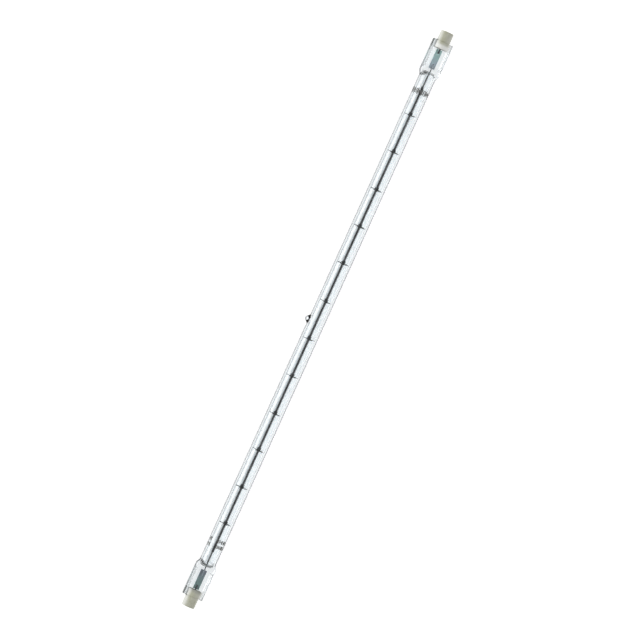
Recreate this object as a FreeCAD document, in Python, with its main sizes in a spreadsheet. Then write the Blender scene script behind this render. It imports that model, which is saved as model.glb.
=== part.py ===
# A double-ended linear halogen lamp, in millimetres.
# +X runs along the tube to end a, +Y is the side of the exhaust tip, and +Z is square to the flat
# press seals. The origin is at the lamp's centre, on the axis of the tube.
# Both ends are alike: each piece of an end is drawn at end a, and end b has it turned half round Z.
import FreeCAD, Part
import math
import os
import Sketcher

doc = FreeCAD.newDocument("linear_halogen_lamp")

# Driving dimensions: name, value and what it measures.
SIZES = [
    ("overall_length", 330.8, "end to end over both ceramic caps"),
    ("tube_diameter", 9.2, "outside of the quartz tube"),
    ("tube_wall", 1.1, "wall of the quartz tube"),
    ("tip_position", -1.6, "exhaust tip from the lamp's centre, along X"),
    ("tip_width", 5.0, "exhaust tip where it leaves the tube"),
    ("tip_height", 1.8, "how far the exhaust tip stands out of the tube"),
    ("tip_wall", 0.9, "quartz left over the end of the tip's hollow"),
    ("tip_hole_width", 1.8, "hollow of the tip where it leaves the bore"),
    ("tip_hole_end", 0.6, "width of that hollow at its closed end"),
    ("rail_height", 4.0, "thickness of the press seal at its two rails"),
    ("rail_width", 1.25, "each rail of the press seal"),
    ("rail_corner", 0.7, "rounding along the rails"),
    ("rail_clearance", 0.3, "from a rail to the collar of the cap"),
    ("web_thickness", 2.2, "flat web between the rails"),
    ("web_margin", 0.5, "full thickness left between the recess of the web and the shoulder"),
    ("web_ramp", 2.2, "length over which the recess of the web runs out"),
    ("shoulder_length", 3.6, "from the round tube to the flat press"),
    ("shoulder_lead", 0.8, "from the end of the gas space to the flat press"),
    ("gas_curve", 1.6, "depth of the shallow curve at each end of the gas space, seen from above"),
    ("gas_ramp", 4.0, "length over which the presses close the gas space, seen from the side"),
    ("gas_edge", 0.7, "half the height left at the very end of the gas space"),
    ("cap_nose_length", 5.7, "nose of the cap"),
    ("cap_nose_diameter", 7.1, "nose of the cap"),
    ("cap_collar_length", 3.9, "collar of the cap, next to the press"),
    ("cap_collar_step", 0.55, "from the nose out to the collar"),
    ("cap_edge", 0.35, "chamfer round the nose, and slope up to the collar"),
    ("cap_floor", 2.8, "ceramic from the seat of the contact to the slot that straddles the web"),
    ("cement_side", 0.15, "cement on each face of the web"),
    ("cement_bed", 0.3, "cement between the end of the web and the floor of the slot"),
    ("cement_shrink", 0.45, "how far the cement stays inside the nose's outline"),
    ("recess_diameter", 4.0, "recess in the nose that the holder's plunger enters"),
    ("recess_depth", 1.7, "from the end of the nose to the contact"),
    ("seat_ledge", 0.3, "step in the recess, round the seat of the contact"),
    ("contact_thickness", 0.8, "head of the contact"),
    ("contact_clearance", 0.1, "round the head and round the shank"),
    ("contact_edge", 0.2, "chamfer round the face of the contact"),
    ("shank_wall", 0.45, "hollow shank of the contact, round the outer lead"),
    ("shank_gap", 0.45, "from the end of the shank to the floor of the slot"),
    ("socket_floor", 0.6, "solid metal left over the end of the outer lead"),
    ("outer_lead_diameter", 0.9, "wire from the contact to the foil"),
    ("outer_overlap", 2.2, "outer lead on the foil"),
    ("foil_gap", 0.5, "from the cap to the foil"),
    ("foil_length", 11.2, "molybdenum foil"),
    ("foil_width", 3.4, "molybdenum foil"),
    ("foil_thickness", 0.03, "molybdenum foil"),
    ("seal_margin", 2.1, "solid quartz from the foil to the gas space"),
    ("inner_overlap", 3.0, "inner lead on the foil"),
    ("lead_reach", 7.95, "inner lead from the end of the gas space to the coil"),
    ("coil_grip", 4.0, "inner lead inside the end of the coil"),
    ("coil_diameter", 1.5, "outside of the filament coil"),
    ("coil_wire", 0.38, "tungsten wire of the coil"),
    ("support_count", 12, "wire supports along the coil"),
    ("support_margin", 16.3, "from the end of the coil to the nearest support"),
    ("support_wire", 0.3, "wire of a support"),
    ("support_turn", 50, "degrees that each support is turned from the one before"),
    ("wrap_length", 2.15, "close turns of a support on the coil"),
    ("wrap_lead", 0.6, "part of the close turns on the end b side of the ring"),
    ("ring_clearance", 0.3, "from the ring of a support to the bore"),
    ("ring_gap", 40, "degrees left open in the ring of a support"),
]

# How far each support has slid along the coil from its even place.
SUPPORT_SLIP = (0.0, -0.4, -0.5, -0.9, -0.6, -0.6, -0.5, 0.1, -0.1, -0.3, 0.0, 0.0)

sheet = doc.addObject("Spreadsheet::Sheet", "Sizes")
for row, (alias, value, meaning) in enumerate(SIZES, start=1):
    sheet.set(f"A{row}", alias)
    sheet.set(f"B{row}", str(value))
    sheet.setAlias(f"B{row}", alias)
    sheet.set(f"C{row}", meaning)
doc.recompute()

# Places along X at end a, from the end of the lamp inwards, each as an expression on the sheet.
LAMP_END = "(Sizes.overall_length / 2)"
CONTACT_FACE = f"({LAMP_END} - Sizes.recess_depth)"
SEAT_FLOOR = f"({CONTACT_FACE} - Sizes.contact_thickness)"
LEAD_TIP = f"({SEAT_FLOOR} - Sizes.socket_floor)"
SLOT_FLOOR = f"({SEAT_FLOOR} - Sizes.cap_floor)"
SHANK_END = f"({SLOT_FLOOR} + Sizes.shank_gap)"
NOSE_START = f"({LAMP_END} - Sizes.cap_nose_length)"
CAP_INNER = f"({NOSE_START} - Sizes.cap_collar_length)"
PRESS_END = f"({SLOT_FLOOR} - Sizes.cement_bed)"
FOIL_OUTER = f"({CAP_INNER} - Sizes.foil_gap)"
FOIL_INNER = f"({FOIL_OUTER} - Sizes.foil_length)"
GAS_END = f"({FOIL_INNER} - Sizes.seal_margin)"
PRESS_START = f"({GAS_END} + Sizes.shoulder_lead)"
TUBE_END = f"({PRESS_START} - Sizes.shoulder_length)"
COIL_END = f"({GAS_END} - Sizes.lead_reach)"

# Radii, half widths and half thicknesses.
TUBE_RADIUS = "(Sizes.tube_diameter / 2)"
BORE_RADIUS = f"({TUBE_RADIUS} - Sizes.tube_wall)"
NOSE_RADIUS = "(Sizes.cap_nose_diameter / 2)"
COLLAR_RADIUS = f"({NOSE_RADIUS} + Sizes.cap_collar_step)"
WEB_SIDE = f"({COLLAR_RADIUS} + Sizes.rail_clearance)"
PRESS_SIDE = f"({WEB_SIDE} + Sizes.rail_width)"
RAIL_TOP = "(Sizes.rail_height / 2)"
WEB_TOP = "(Sizes.web_thickness / 2)"
SLOT_TOP = f"({WEB_TOP} + Sizes.cement_side)"
CEMENT_RADIUS = f"({NOSE_RADIUS} - Sizes.cement_shrink)"
RECESS_RADIUS = "(Sizes.recess_diameter / 2)"
SEAT_RADIUS = f"({RECESS_RADIUS} - Sizes.seat_ledge)"
HEAD_RADIUS = f"({SEAT_RADIUS} - Sizes.contact_clearance)"
OUTER_LEAD_RADIUS = "(Sizes.outer_lead_diameter / 2)"
SHANK_RADIUS = f"({OUTER_LEAD_RADIUS} + Sizes.shank_wall)"
SHANK_HOLE = f"({SHANK_RADIUS} + Sizes.contact_clearance)"
COIL_RADIUS = "(Sizes.coil_diameter / 2)"
COIL_BORE = f"({COIL_RADIUS} - Sizes.coil_wire)"
WRAP_RADIUS = f"({COIL_RADIUS} + Sizes.support_wire)"
RING_RADIUS = f"({BORE_RADIUS} - Sizes.ring_clearance - Sizes.support_wire / 2)"

# The arc that rises by gas_curve over the width of the bore, and how wide its block is drawn.
CURVE_RADIUS = f"(({BORE_RADIUS} * {BORE_RADIUS} / Sizes.gas_curve + Sizes.gas_curve) / 2)"
CURVE_CENTRE = f"({GAS_END} - {CURVE_RADIUS})"
CURVE_SIDE = f"(({BORE_RADIUS} + {CURVE_RADIUS}) / 2)"
BEYOND_BORE = f"(3 * {BORE_RADIUS})"

# The weld presses the leads half the foil's thickness into it, so each has a flat on the foil.
FOIL_TOP = f"(Sizes.foil_thickness / 2 - min({COIL_BORE}; {OUTER_LEAD_RADIUS}))"
FOIL_BOTTOM = f"({FOIL_TOP} - Sizes.foil_thickness)"

X_AXIS = FreeCAD.Vector(1, 0, 0)
Y_AXIS = FreeCAD.Vector(0, 1, 0)
Z_AXIS = FreeCAD.Vector(0, 0, 1)
ORIGIN = FreeCAD.Vector(0, 0, 0)
HALF_TURN = 180
QUARTER_TURN = 90
FULL_TURN = 360
ENDS = {
    "a": FreeCAD.Placement(),
    "b": FreeCAD.Placement(ORIGIN, FreeCAD.Rotation(Z_AXIS, HALF_TURN)),
}


# Drawing helpers. In a sketch, point 1 of a line or arc is its start, 2 its end and 3 its centre;
# geometry -1 is the horizontal axis, whose point 1 is the origin, and -2 the vertical axis.
START, END, CENTRE = 1, 2, 3
ORIGIN_POINT = (-1, 1)
ACROSS_AXIS, UP_AXIS = -1, -2


def new_body(name, end="a"):
    """A body of its own, at its end of the lamp."""
    body = doc.addObject("PartDesign::Body", name)
    body.Label = name
    body.Placement = ENDS[end]
    return body


def new_sketch(body, plane, name, offset=None):
    """A sketch on one of the body's own origin planes, moved along that plane's normal by offset."""
    sketch = body.newObject("Sketcher::SketchObject", f"{body.Name}_{name}")
    base = next(feature for feature in body.Origin.OriginFeatures if feature.Role == plane)
    sketch.AttachmentSupport = (base, "")
    sketch.MapMode = "FlatFace"
    if offset:
        sketch.setExpression("AttachmentOffset.Base.z", offset)
    return sketch


def flat(values):
    """A point of a sketch from its two numbers."""
    return FreeCAD.Vector(values[0], values[1], 0)


def tie(sketch, kind, places, expression):
    """Adds one measured constraint and binds it to the sheet."""
    value = float(sketch.evalExpression(expression))
    index = sketch.addConstraint(Sketcher.Constraint(kind, *places, value))
    sketch.setExpression(f"Constraints[{index}]", expression)


def pin_corner(sketch, line, across, up):
    """Ties the start of a line to its place. A coordinate of "0" puts it on the axis."""
    if across == "0":
        sketch.addConstraint(Sketcher.Constraint("PointOnObject", line, START, UP_AXIS))
    else:
        tie(sketch, "DistanceX", (*ORIGIN_POINT, line, START), across)
    if up == "0":
        sketch.addConstraint(Sketcher.Constraint("PointOnObject", line, START, ACROSS_AXIS))
    else:
        tie(sketch, "DistanceY", (*ORIGIN_POINT, line, START), up)


def draw_polygon(sketch, corners):
    """A closed outline of straight lines through corners, each a pair of expressions."""
    points = [flat([float(sketch.evalExpression(text)) for text in corner]) for corner in corners]
    ends = points[1:] + points[:1]
    lines = [sketch.addGeometry(Part.LineSegment(one, two)) for one, two in zip(points, ends)]
    for line, following in zip(lines, lines[1:] + lines[:1]):
        sketch.addConstraint(Sketcher.Constraint("Coincident", line, END, following, START))
    for line, (across, up) in zip(lines, corners):
        pin_corner(sketch, line, across, up)


def rectangle(low, high, bottom, top):
    """The corners of a rectangle from the expressions of its four sides."""
    return [(low, bottom), (high, bottom), (high, top), (low, top)]


def revolve(body, corners, name="profile"):
    """Turns an outline of (place along X, radius) about the X axis."""
    sketch = new_sketch(body, "XY_Plane", name)
    draw_polygon(sketch, corners)
    turned = body.newObject("PartDesign::Revolution", f"{body.Name}_turned")
    turned.Profile = sketch
    turned.ReferenceAxis = (sketch, ["H_Axis"])
    turned.Angle = FULL_TURN
    body.Tip = turned


def cut_across(body, name, outlines, width):
    """Cuts outlines of (place along X, place along Z) right across the body, width wide in Y."""
    sketch = new_sketch(body, "XZ_Plane", name)
    for corners in outlines:
        draw_polygon(sketch, corners)
    pocket = body.newObject("PartDesign::Pocket", f"{body.Name}_{name}_cut")
    pocket.Profile = sketch
    pocket.SideType = "Symmetric"
    pocket.setExpression("Length", width)
    body.Tip = pocket


def minus(expression):
    """The same distance on the other side of the axis."""
    return f"(0 - {expression})"


def combine(kind, name, **links):
    """A boolean of the Part workbench."""
    result = doc.addObject(f"Part::{kind}", name)
    result.Label = name
    for key, value in links.items():
        setattr(result, key, value)
    return result


# Wire leads. The inner lead is the pin that the coil's end is screwed on to, so it has the bore of
# the coil. Each lead has a flat where it is welded to the foil.
def make_inner_lead(end):
    lead = new_body(f"inner_lead_{end}", end)
    inner = f"({COIL_END} - Sizes.coil_grip)"
    outer = f"({FOIL_INNER} + Sizes.inner_overlap)"
    revolve(lead, rectangle(inner, outer, "0", COIL_BORE))
    weld = rectangle(FOIL_INNER, f"({outer} + {COIL_BORE})", minus(COIL_RADIUS), FOIL_TOP)
    cut_across(lead, "weld", [weld], "Sizes.coil_diameter")
    return lead


def make_outer_lead(end):
    lead = new_body(f"outer_lead_{end}", end)
    inner = f"({FOIL_OUTER} - Sizes.outer_overlap)"
    revolve(lead, rectangle(inner, LEAD_TIP, "0", OUTER_LEAD_RADIUS))
    below = minus("Sizes.outer_lead_diameter")
    weld = rectangle(f"({inner} - {OUTER_LEAD_RADIUS})", FOIL_OUTER, below, FOIL_TOP)
    cut_across(lead, "weld", [weld], "(2 * Sizes.outer_lead_diameter)")
    return lead


# The sealing foil lies flat in the press, under the ends of both leads.
def make_foil(end):
    foil = new_body(f"molybdenum_foil_{end}", end)
    sketch = new_sketch(foil, "XZ_Plane", "edge")
    draw_polygon(sketch, rectangle(FOIL_INNER, FOIL_OUTER, FOIL_BOTTOM, FOIL_TOP))
    sheet_metal = foil.newObject("PartDesign::Pad", f"{foil.Name}_rolled")
    sheet_metal.Profile = sketch
    sheet_metal.SideType = "Symmetric"
    sheet_metal.setExpression("Length", "Sizes.foil_width")
    foil.Tip = sheet_metal
    return foil


# The ceramic cap is a nose and a collar, with a stepped hole for the contact and a slot across its
# inner end for the web of the press.
def make_cap(end):
    cap = new_body(f"ceramic_cap_{end}", end)
    revolve(
        cap,
        [
            (LAMP_END, RECESS_RADIUS),
            (LAMP_END, f"({NOSE_RADIUS} - Sizes.cap_edge)"),
            (f"({LAMP_END} - Sizes.cap_edge)", NOSE_RADIUS),
            (NOSE_START, NOSE_RADIUS),
            (f"({NOSE_START} - Sizes.cap_edge)", COLLAR_RADIUS),
            (CAP_INNER, COLLAR_RADIUS),
            (CAP_INNER, SHANK_HOLE),
            (SEAT_FLOOR, SHANK_HOLE),
            (SEAT_FLOOR, SEAT_RADIUS),
            (CONTACT_FACE, SEAT_RADIUS),
            (CONTACT_FACE, RECESS_RADIUS),
        ],
    )
    beyond = f"({CAP_INNER} - Sizes.cap_collar_length)"
    slot = rectangle(beyond, SLOT_FLOOR, minus(SLOT_TOP), SLOT_TOP)
    cut_across(cap, "slot", [slot], f"(4 * {COLLAR_RADIUS})")
    return cap


# The contact's head seats on the step of the cap, and its shank is crimped round the outer lead.
def make_contact(end):
    contact = new_body(f"contact_{end}", end)
    revolve(
        contact,
        [
            (CONTACT_FACE, "0"),
            (CONTACT_FACE, f"({HEAD_RADIUS} - Sizes.contact_edge)"),
            (f"({CONTACT_FACE} - Sizes.contact_edge)", HEAD_RADIUS),
            (SEAT_FLOOR, HEAD_RADIUS),
            (SEAT_FLOOR, SHANK_RADIUS),
            (SHANK_END, SHANK_RADIUS),
            (SHANK_END, OUTER_LEAD_RADIUS),
            (LEAD_TIP, OUTER_LEAD_RADIUS),
            (LEAD_TIP, "0"),
        ],
    )
    return contact


# Cement fills the slot round the end of the web, a little inside the outline of the nose.
def make_cement(end):
    cement = new_body(f"cap_cement_{end}", end)
    revolve(cement, rectangle(CAP_INNER, SLOT_FLOOR, OUTER_LEAD_RADIUS, CEMENT_RADIUS))
    inner = f"({CAP_INNER} - Sizes.cap_collar_length)"
    edge = "Sizes.cap_nose_diameter"
    above = rectangle(inner, LAMP_END, SLOT_TOP, edge)
    below = rectangle(inner, LAMP_END, minus(edge), minus(SLOT_TOP))
    cut_across(cement, "slot_sides", [above, below], "(2 * Sizes.cap_nose_diameter)")
    web = rectangle(inner, PRESS_END, minus(WEB_TOP), WEB_TOP)
    cut_across(cement, "web", [web], "(2 * Sizes.cap_nose_diameter)")
    return cement


# The press seal: the tube's end runs from round to flat, and the flat part is thinned between its
# two rails.
def draw_rounded_rectangle(sketch, side, top, corner):
    """Four lines and four corner arcs, centred, from expressions of half sizes and corner radius."""
    half_width, half_height, radius = [float(sketch.evalExpression(text)) for text in (side, top, corner)]
    inset_width, inset_height = half_width - radius, half_height - radius
    # the four sides, counterclockwise from the bottom one
    line_ends = [
        ((-inset_width, -half_height), (inset_width, -half_height)),
        ((half_width, -inset_height), (half_width, inset_height)),
        ((inset_width, half_height), (-inset_width, half_height)),
        ((-half_width, inset_height), (-half_width, -inset_height)),
    ]
    arc_centres = [
        (inset_width, -inset_height),
        (inset_width, inset_height),
        (-inset_width, inset_height),
        (-inset_width, -inset_height),
    ]
    lines = [sketch.addGeometry(Part.LineSegment(flat(one), flat(two))) for one, two in line_ends]
    arcs = []
    for quarter, centre in enumerate(arc_centres):
        circle = Part.Circle(flat(centre), Z_AXIS, radius)
        begin, finish = [math.radians(QUARTER_TURN * turns) for turns in (quarter - 1, quarter)]
        arcs.append(sketch.addGeometry(Part.ArcOfCircle(circle, begin, finish)))
    for line, arc, following in zip(lines, arcs, lines[1:] + lines[:1]):
        sketch.addConstraint(Sketcher.Constraint("Tangent", line, END, arc, START))
        sketch.addConstraint(Sketcher.Constraint("Tangent", arc, END, following, START))
    bottom, right, upper, left = lines
    for line in (bottom, upper):
        sketch.addConstraint(Sketcher.Constraint("Horizontal", line))
    for line in (right, left):
        sketch.addConstraint(Sketcher.Constraint("Vertical", line))
    for arc in arcs[1:]:
        sketch.addConstraint(Sketcher.Constraint("Equal", arcs[0], arc))
    tie(sketch, "Radius", (arcs[0],), corner)
    tie(sketch, "DistanceX", (*ORIGIN_POINT, right, START), side)
    tie(sketch, "DistanceX", (left, START, *ORIGIN_POINT), side)
    tie(sketch, "DistanceY", (*ORIGIN_POINT, upper, START), top)
    tie(sketch, "DistanceY", (bottom, START, *ORIGIN_POINT), top)


def make_press_seal(end):
    press = new_body(f"press_seal_{end}", end)
    round_end = new_sketch(press, "YZ_Plane", "round_end", TUBE_END)
    circle = round_end.addGeometry(Part.Circle(ORIGIN, Z_AXIS, 1.0))
    round_end.addConstraint(Sketcher.Constraint("Coincident", circle, CENTRE, *ORIGIN_POINT))
    tie(round_end, "Radius", (circle,), TUBE_RADIUS)
    flat_end = new_sketch(press, "YZ_Plane", "flat_end", PRESS_START)
    draw_rounded_rectangle(flat_end, PRESS_SIDE, RAIL_TOP, "Sizes.rail_corner")
    shoulder = press.newObject("PartDesign::AdditiveLoft", f"{press.Name}_shoulder")
    shoulder.Profile = round_end
    shoulder.Sections = [flat_end]
    shoulder.Ruled = True
    flat_part = press.newObject("PartDesign::Pad", f"{press.Name}_flat")
    flat_part.Profile = flat_end
    flat_part.setExpression("Length", f"({PRESS_END} - {PRESS_START})")
    press.Tip = flat_part
    # the recess of the web starts past the shoulder and runs out of the press at its end
    start = f"({PRESS_START} + Sizes.web_margin)"
    full = f"({start} + Sizes.web_ramp)"
    beyond = f"({PRESS_END} + Sizes.web_ramp)"
    clear = "Sizes.rail_height"
    upper = [(start, RAIL_TOP), (full, WEB_TOP), (beyond, WEB_TOP), (beyond, clear), (start, clear)]
    lower = [(place, minus(height)) for place, height in upper]
    cut_across(press, "web", [upper, lower], f"(2 * {WEB_SIDE})")
    return press


# The gas space is the bore of the tube, closed by the presses. Seen from the side each end narrows
# like a wedge, and seen from above it ends in a shallow curve.
def make_gas_plan():
    """What the gas space fills seen from above: two end curves, joined outside the bore."""
    plan = new_body("gas_plan")
    sketch = new_sketch(plan, "XY_Plane", "outline")
    sizes = [float(sketch.evalExpression(size)) for size in (CURVE_CENTRE, CURVE_RADIUS, CURVE_SIDE)]
    centre, radius, side = sizes
    swing = math.asin(side / radius)
    corner = centre + radius * math.cos(swing)
    right_circle = Part.Circle(flat((centre, 0)), Z_AXIS, radius)
    left_circle = Part.Circle(flat((-centre, 0)), Z_AXIS, radius)
    edges = [
        Part.LineSegment(flat((-corner, -side)), flat((corner, -side))),
        Part.ArcOfCircle(right_circle, -swing, swing),
        Part.LineSegment(flat((corner, side)), flat((-corner, side))),
        Part.ArcOfCircle(left_circle, math.pi - swing, math.pi + swing),
    ]
    outline = [sketch.addGeometry(edge) for edge in edges]
    for one, following in zip(outline, outline[1:] + outline[:1]):
        sketch.addConstraint(Sketcher.Constraint("Coincident", one, END, following, START))
    bottom, right, upper, left = outline
    for line in (bottom, upper):
        sketch.addConstraint(Sketcher.Constraint("Horizontal", line))
    for arc in (right, left):
        sketch.addConstraint(Sketcher.Constraint("PointOnObject", arc, CENTRE, ACROSS_AXIS))
        tie(sketch, "Radius", (arc,), CURVE_RADIUS)
    tie(sketch, "DistanceX", (*ORIGIN_POINT, right, CENTRE), CURVE_CENTRE)
    tie(sketch, "DistanceX", (left, CENTRE, *ORIGIN_POINT), CURVE_CENTRE)
    tie(sketch, "DistanceY", (*ORIGIN_POINT, upper, START), CURVE_SIDE)
    tie(sketch, "DistanceY", (bottom, START, *ORIGIN_POINT), CURVE_SIDE)
    block = plan.newObject("PartDesign::Pad", "gas_plan_block")
    block.Profile = sketch
    block.SideType = "Symmetric"
    block.setExpression("Length", BEYOND_BORE)
    plan.Tip = block
    return plan


def make_gas_space():
    bore = new_body("bore")
    revolve(bore, rectangle(minus(GAS_END), GAS_END, "0", BORE_RADIUS))
    # the slope of each wedge passes through the wall of the bore at gas_ramp, and is drawn twice as far
    beyond = f"({GAS_END} + Sizes.gas_edge)"
    back = f"({GAS_END} - 2 * Sizes.gas_ramp)"
    top = f"(2 * {BORE_RADIUS} - Sizes.gas_edge)"
    wedge = [(back, top), (GAS_END, "Sizes.gas_edge"), (beyond, "Sizes.gas_edge"), (beyond, top)]
    wedges = []
    for along in (str, minus):
        for up in (str, minus):
            wedges.append([(along(place), up(height)) for place, height in wedge])
    cut_across(bore, "wedges", wedges, BEYOND_BORE)
    return combine("MultiCommon", "gas_space", Shapes=[bore, make_gas_plan()])


# The exhaust tip is a bead of quartz on the side of the tube, with a hollow that narrows into it.
def make_tip_bead():
    bead = doc.addObject("Part::Sphere", "tip_bead")
    half = "(Sizes.tip_width / 2)"
    radius = f"(({half} * {half} + Sizes.tip_height * Sizes.tip_height) / (2 * Sizes.tip_height))"
    bead.setExpression("Radius", radius)
    bead.Placement.Rotation = FreeCAD.Rotation(X_AXIS, -QUARTER_TURN)
    bead.setExpression("Placement.Base.x", "Sizes.tip_position")
    bead.setExpression("Placement.Base.y", f"{TUBE_RADIUS} + Sizes.tip_height - {radius}")
    return bead


def make_tip_hollow():
    hollow = doc.addObject("Part::Cone", "tip_hollow")
    foot = f"({BORE_RADIUS} - Sizes.tube_wall / 2)"
    hollow.setExpression("Radius1", "Sizes.tip_hole_width / 2")
    hollow.setExpression("Radius2", "Sizes.tip_hole_end / 2")
    hollow.setExpression("Height", f"{TUBE_RADIUS} + Sizes.tip_height - Sizes.tip_wall - {foot}")
    hollow.Placement.Rotation = FreeCAD.Rotation(X_AXIS, -QUARTER_TURN)
    hollow.setExpression("Placement.Base.x", "Sizes.tip_position")
    hollow.setExpression("Placement.Base.y", foot)
    return hollow


# The filament, as the sleeve that its close turns fill.
def make_coil():
    coil = new_body("filament_coil")
    revolve(coil, rectangle(minus(COIL_END), COIL_END, COIL_BORE, COIL_RADIUS))
    return coil


# A support: close turns on the coil, an arm that curves outwards, and an open ring in the bore.
# It is drawn round the Z axis and then laid along the coil. The arm is most of a half circle, which
# leaves the ring and ends inside the close turns.
ARM_SWEEP = 160


def make_support(number, slip):
    name = f"filament_support_{number:02d}"
    ring = doc.addObject("Part::Torus", f"{name}_ring")
    ring.setExpression("Radius1", RING_RADIUS)
    ring.setExpression("Radius2", "Sizes.support_wire / 2")
    ring.setExpression("Angle3", f"{FULL_TURN} - Sizes.ring_gap")
    arm = doc.addObject("Part::Torus", f"{name}_arm")
    arm.setExpression("Radius1", f"{RING_RADIUS} / 2")
    arm.setExpression("Radius2", "Sizes.support_wire / 2")
    arm.Angle3 = ARM_SWEEP
    arm.Placement.Rotation = FreeCAD.Rotation(Z_AXIS, -ARM_SWEEP)
    arm.setExpression("Placement.Base.x", f"{RING_RADIUS} / 2")
    wrap = doc.addObject("Part::Cylinder", f"{name}_wrap")
    wrap.setExpression("Radius", WRAP_RADIUS)
    wrap.setExpression("Height", "Sizes.wrap_length")
    wrap.setExpression("Placement.Base.z", minus("Sizes.wrap_lead"))
    bore = doc.addObject("Part::Cylinder", f"{name}_bore")
    bore.setExpression("Radius", COIL_RADIUS)
    bore.setExpression("Height", "2 * Sizes.wrap_length")
    bore.setExpression("Placement.Base.z", minus("Sizes.wrap_length"))
    wire = combine("MultiFuse", f"{name}_wire", Shapes=[ring, arm, wrap])
    support = combine("Cut", name, Base=wire, Tool=bore)
    turn = FreeCAD.Rotation(X_AXIS, number * float(sheet.support_turn))
    support.Placement.Rotation = turn.multiply(FreeCAD.Rotation(Y_AXIS, QUARTER_TURN))
    pitch = f"(2 * ({COIL_END} - Sizes.support_margin) / (Sizes.support_count - 1))"
    first = f"(Sizes.support_margin - {COIL_END})"
    support.setExpression("Placement.Base.x", f"{first} + {number - 1} * {pitch} + {slip}")
    return support


inner_leads = [make_inner_lead(end) for end in ENDS]
outer_leads = [make_outer_lead(end) for end in ENDS]
foils = [make_foil(end) for end in ENDS]
caps = [make_cap(end) for end in ENDS]
contacts = [make_contact(end) for end in ENDS]
cements = [make_cement(end) for end in ENDS]
coil = make_coil()
supports = []
for place in range(int(sheet.support_count)):
    supports.append(make_support(place + 1, SUPPORT_SLIP[place % len(SUPPORT_SLIP)]))

# The quartz is blown and pressed as one piece, round the metal that its ends hold.
tube = new_body("tube")
revolve(tube, rectangle(minus(TUBE_END), TUBE_END, "0", TUBE_RADIUS))
presses = [make_press_seal(end) for end in ENDS]
blank = combine("MultiFuse", "quartz_blank", Shapes=[tube, *presses, make_tip_bead()])
hollows = [make_gas_space(), make_tip_hollow(), *inner_leads, *outer_leads, *foils]
held = combine("MultiFuse", "quartz_hollows", Shapes=hollows)
envelope = combine("Cut", "quartz_envelope", Base=blank, Tool=held)

nodes = [envelope, coil, *supports, *inner_leads, *outer_leads, *foils, *caps, *contacts, *cements]
doc.recompute()

# Every object must have been made, and every piece must be one valid solid, before any is written.
for item in doc.Objects:
    if "Invalid" in item.State or "Error" in item.State:
        raise RuntimeError(f"{item.Label} was not made: {item.State}")
for node in nodes:
    if node.Shape.isNull() or not node.Shape.isValid() or len(node.Shape.Solids) != 1:
        raise RuntimeError(f"{node.Label} is not one valid solid")

os.makedirs("parts", exist_ok=True)
for node in nodes:
    node.Shape.exportStep(f"parts/{node.Label}.step")
    box = node.Shape.BoundBox
    print(f"{node.Label}: {node.Shape.Volume:.3f} mm3, X {box.XMin:.2f} to {box.XMax:.2f}")
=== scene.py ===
# %% [markdown]
# The lamp and its frame
# A double-ended halogen lamp is a long quartz tube with a coiled filament on its axis. Its two ends
# are pressed flat round the wires that carry the current, and each wears a ceramic cap. The solids
# that are loaded here fix where every piece lies, and this lesson builds what is seen: clear glass,
# wound wire, rolled foil, fired ceramic. They stay hidden behind the pieces that stand for them.

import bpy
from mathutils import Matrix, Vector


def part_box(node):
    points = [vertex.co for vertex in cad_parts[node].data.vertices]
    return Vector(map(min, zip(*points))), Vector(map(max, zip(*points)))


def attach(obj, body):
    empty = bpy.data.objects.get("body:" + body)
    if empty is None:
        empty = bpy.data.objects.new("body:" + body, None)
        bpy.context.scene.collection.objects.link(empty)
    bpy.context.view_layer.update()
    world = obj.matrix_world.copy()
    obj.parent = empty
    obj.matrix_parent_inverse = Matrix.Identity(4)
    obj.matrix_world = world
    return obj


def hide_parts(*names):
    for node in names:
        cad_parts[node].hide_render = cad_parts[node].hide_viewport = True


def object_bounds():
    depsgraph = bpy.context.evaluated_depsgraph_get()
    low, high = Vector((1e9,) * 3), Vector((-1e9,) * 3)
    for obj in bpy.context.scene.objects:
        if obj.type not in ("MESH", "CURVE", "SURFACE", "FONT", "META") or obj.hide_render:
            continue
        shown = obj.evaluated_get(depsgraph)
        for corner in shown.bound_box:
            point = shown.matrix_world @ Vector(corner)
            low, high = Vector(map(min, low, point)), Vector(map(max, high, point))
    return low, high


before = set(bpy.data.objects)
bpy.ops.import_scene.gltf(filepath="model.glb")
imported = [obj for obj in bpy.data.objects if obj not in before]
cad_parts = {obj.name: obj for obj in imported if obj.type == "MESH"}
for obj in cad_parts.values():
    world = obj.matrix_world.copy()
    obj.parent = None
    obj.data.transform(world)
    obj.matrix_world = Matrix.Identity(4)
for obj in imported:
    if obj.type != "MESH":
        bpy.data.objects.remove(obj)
cad_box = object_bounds()
print("the solids reach from", list(cad_box[0]), "to", list(cad_box[1]))

# %% [markdown]
# Working in millimetres
# Blender counts in metres, and a lamp is easier to think of in millimetres. So every shape here is
# drawn in millimetres and made smaller once, when it becomes an object. The same helper gives the
# piece its finish, lets it ride with the lamp, and hides the solid that it stands for.

# %% Helpers for shapes in millimetres
import math
import random

import bmesh
import bpy
from mathutils import Matrix, Vector, noise

MM = 0.001
ENDS = {"a": 1, "b": -1}


def corners(node):
    """The lowest and the highest corner of a solid, in millimetres."""
    low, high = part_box(node)
    return low / MM, high / MM


def make_piece(name, vertices, faces, material, stands_for=(), sharp_angle=None):
    """A piece of the lamp from its vertices in millimetres, riding with the lamp."""
    mesh = bpy.data.meshes.new(name)
    mesh.from_pydata([Vector(point) * MM for point in vertices], [], faces)
    mesh.materials.append(material)
    mesh.shade_smooth()
    if sharp_angle is not None:
        mesh.set_sharp_from_angle(angle=math.radians(sharp_angle))
    piece = bpy.data.objects.new(name, mesh)
    bpy.context.scene.collection.objects.link(piece)
    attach(piece, "root")
    if stands_for:
        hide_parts(*stands_for)
    print(f"{name}: {len(vertices)} points, {len(faces)} faces")
    return piece


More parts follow.
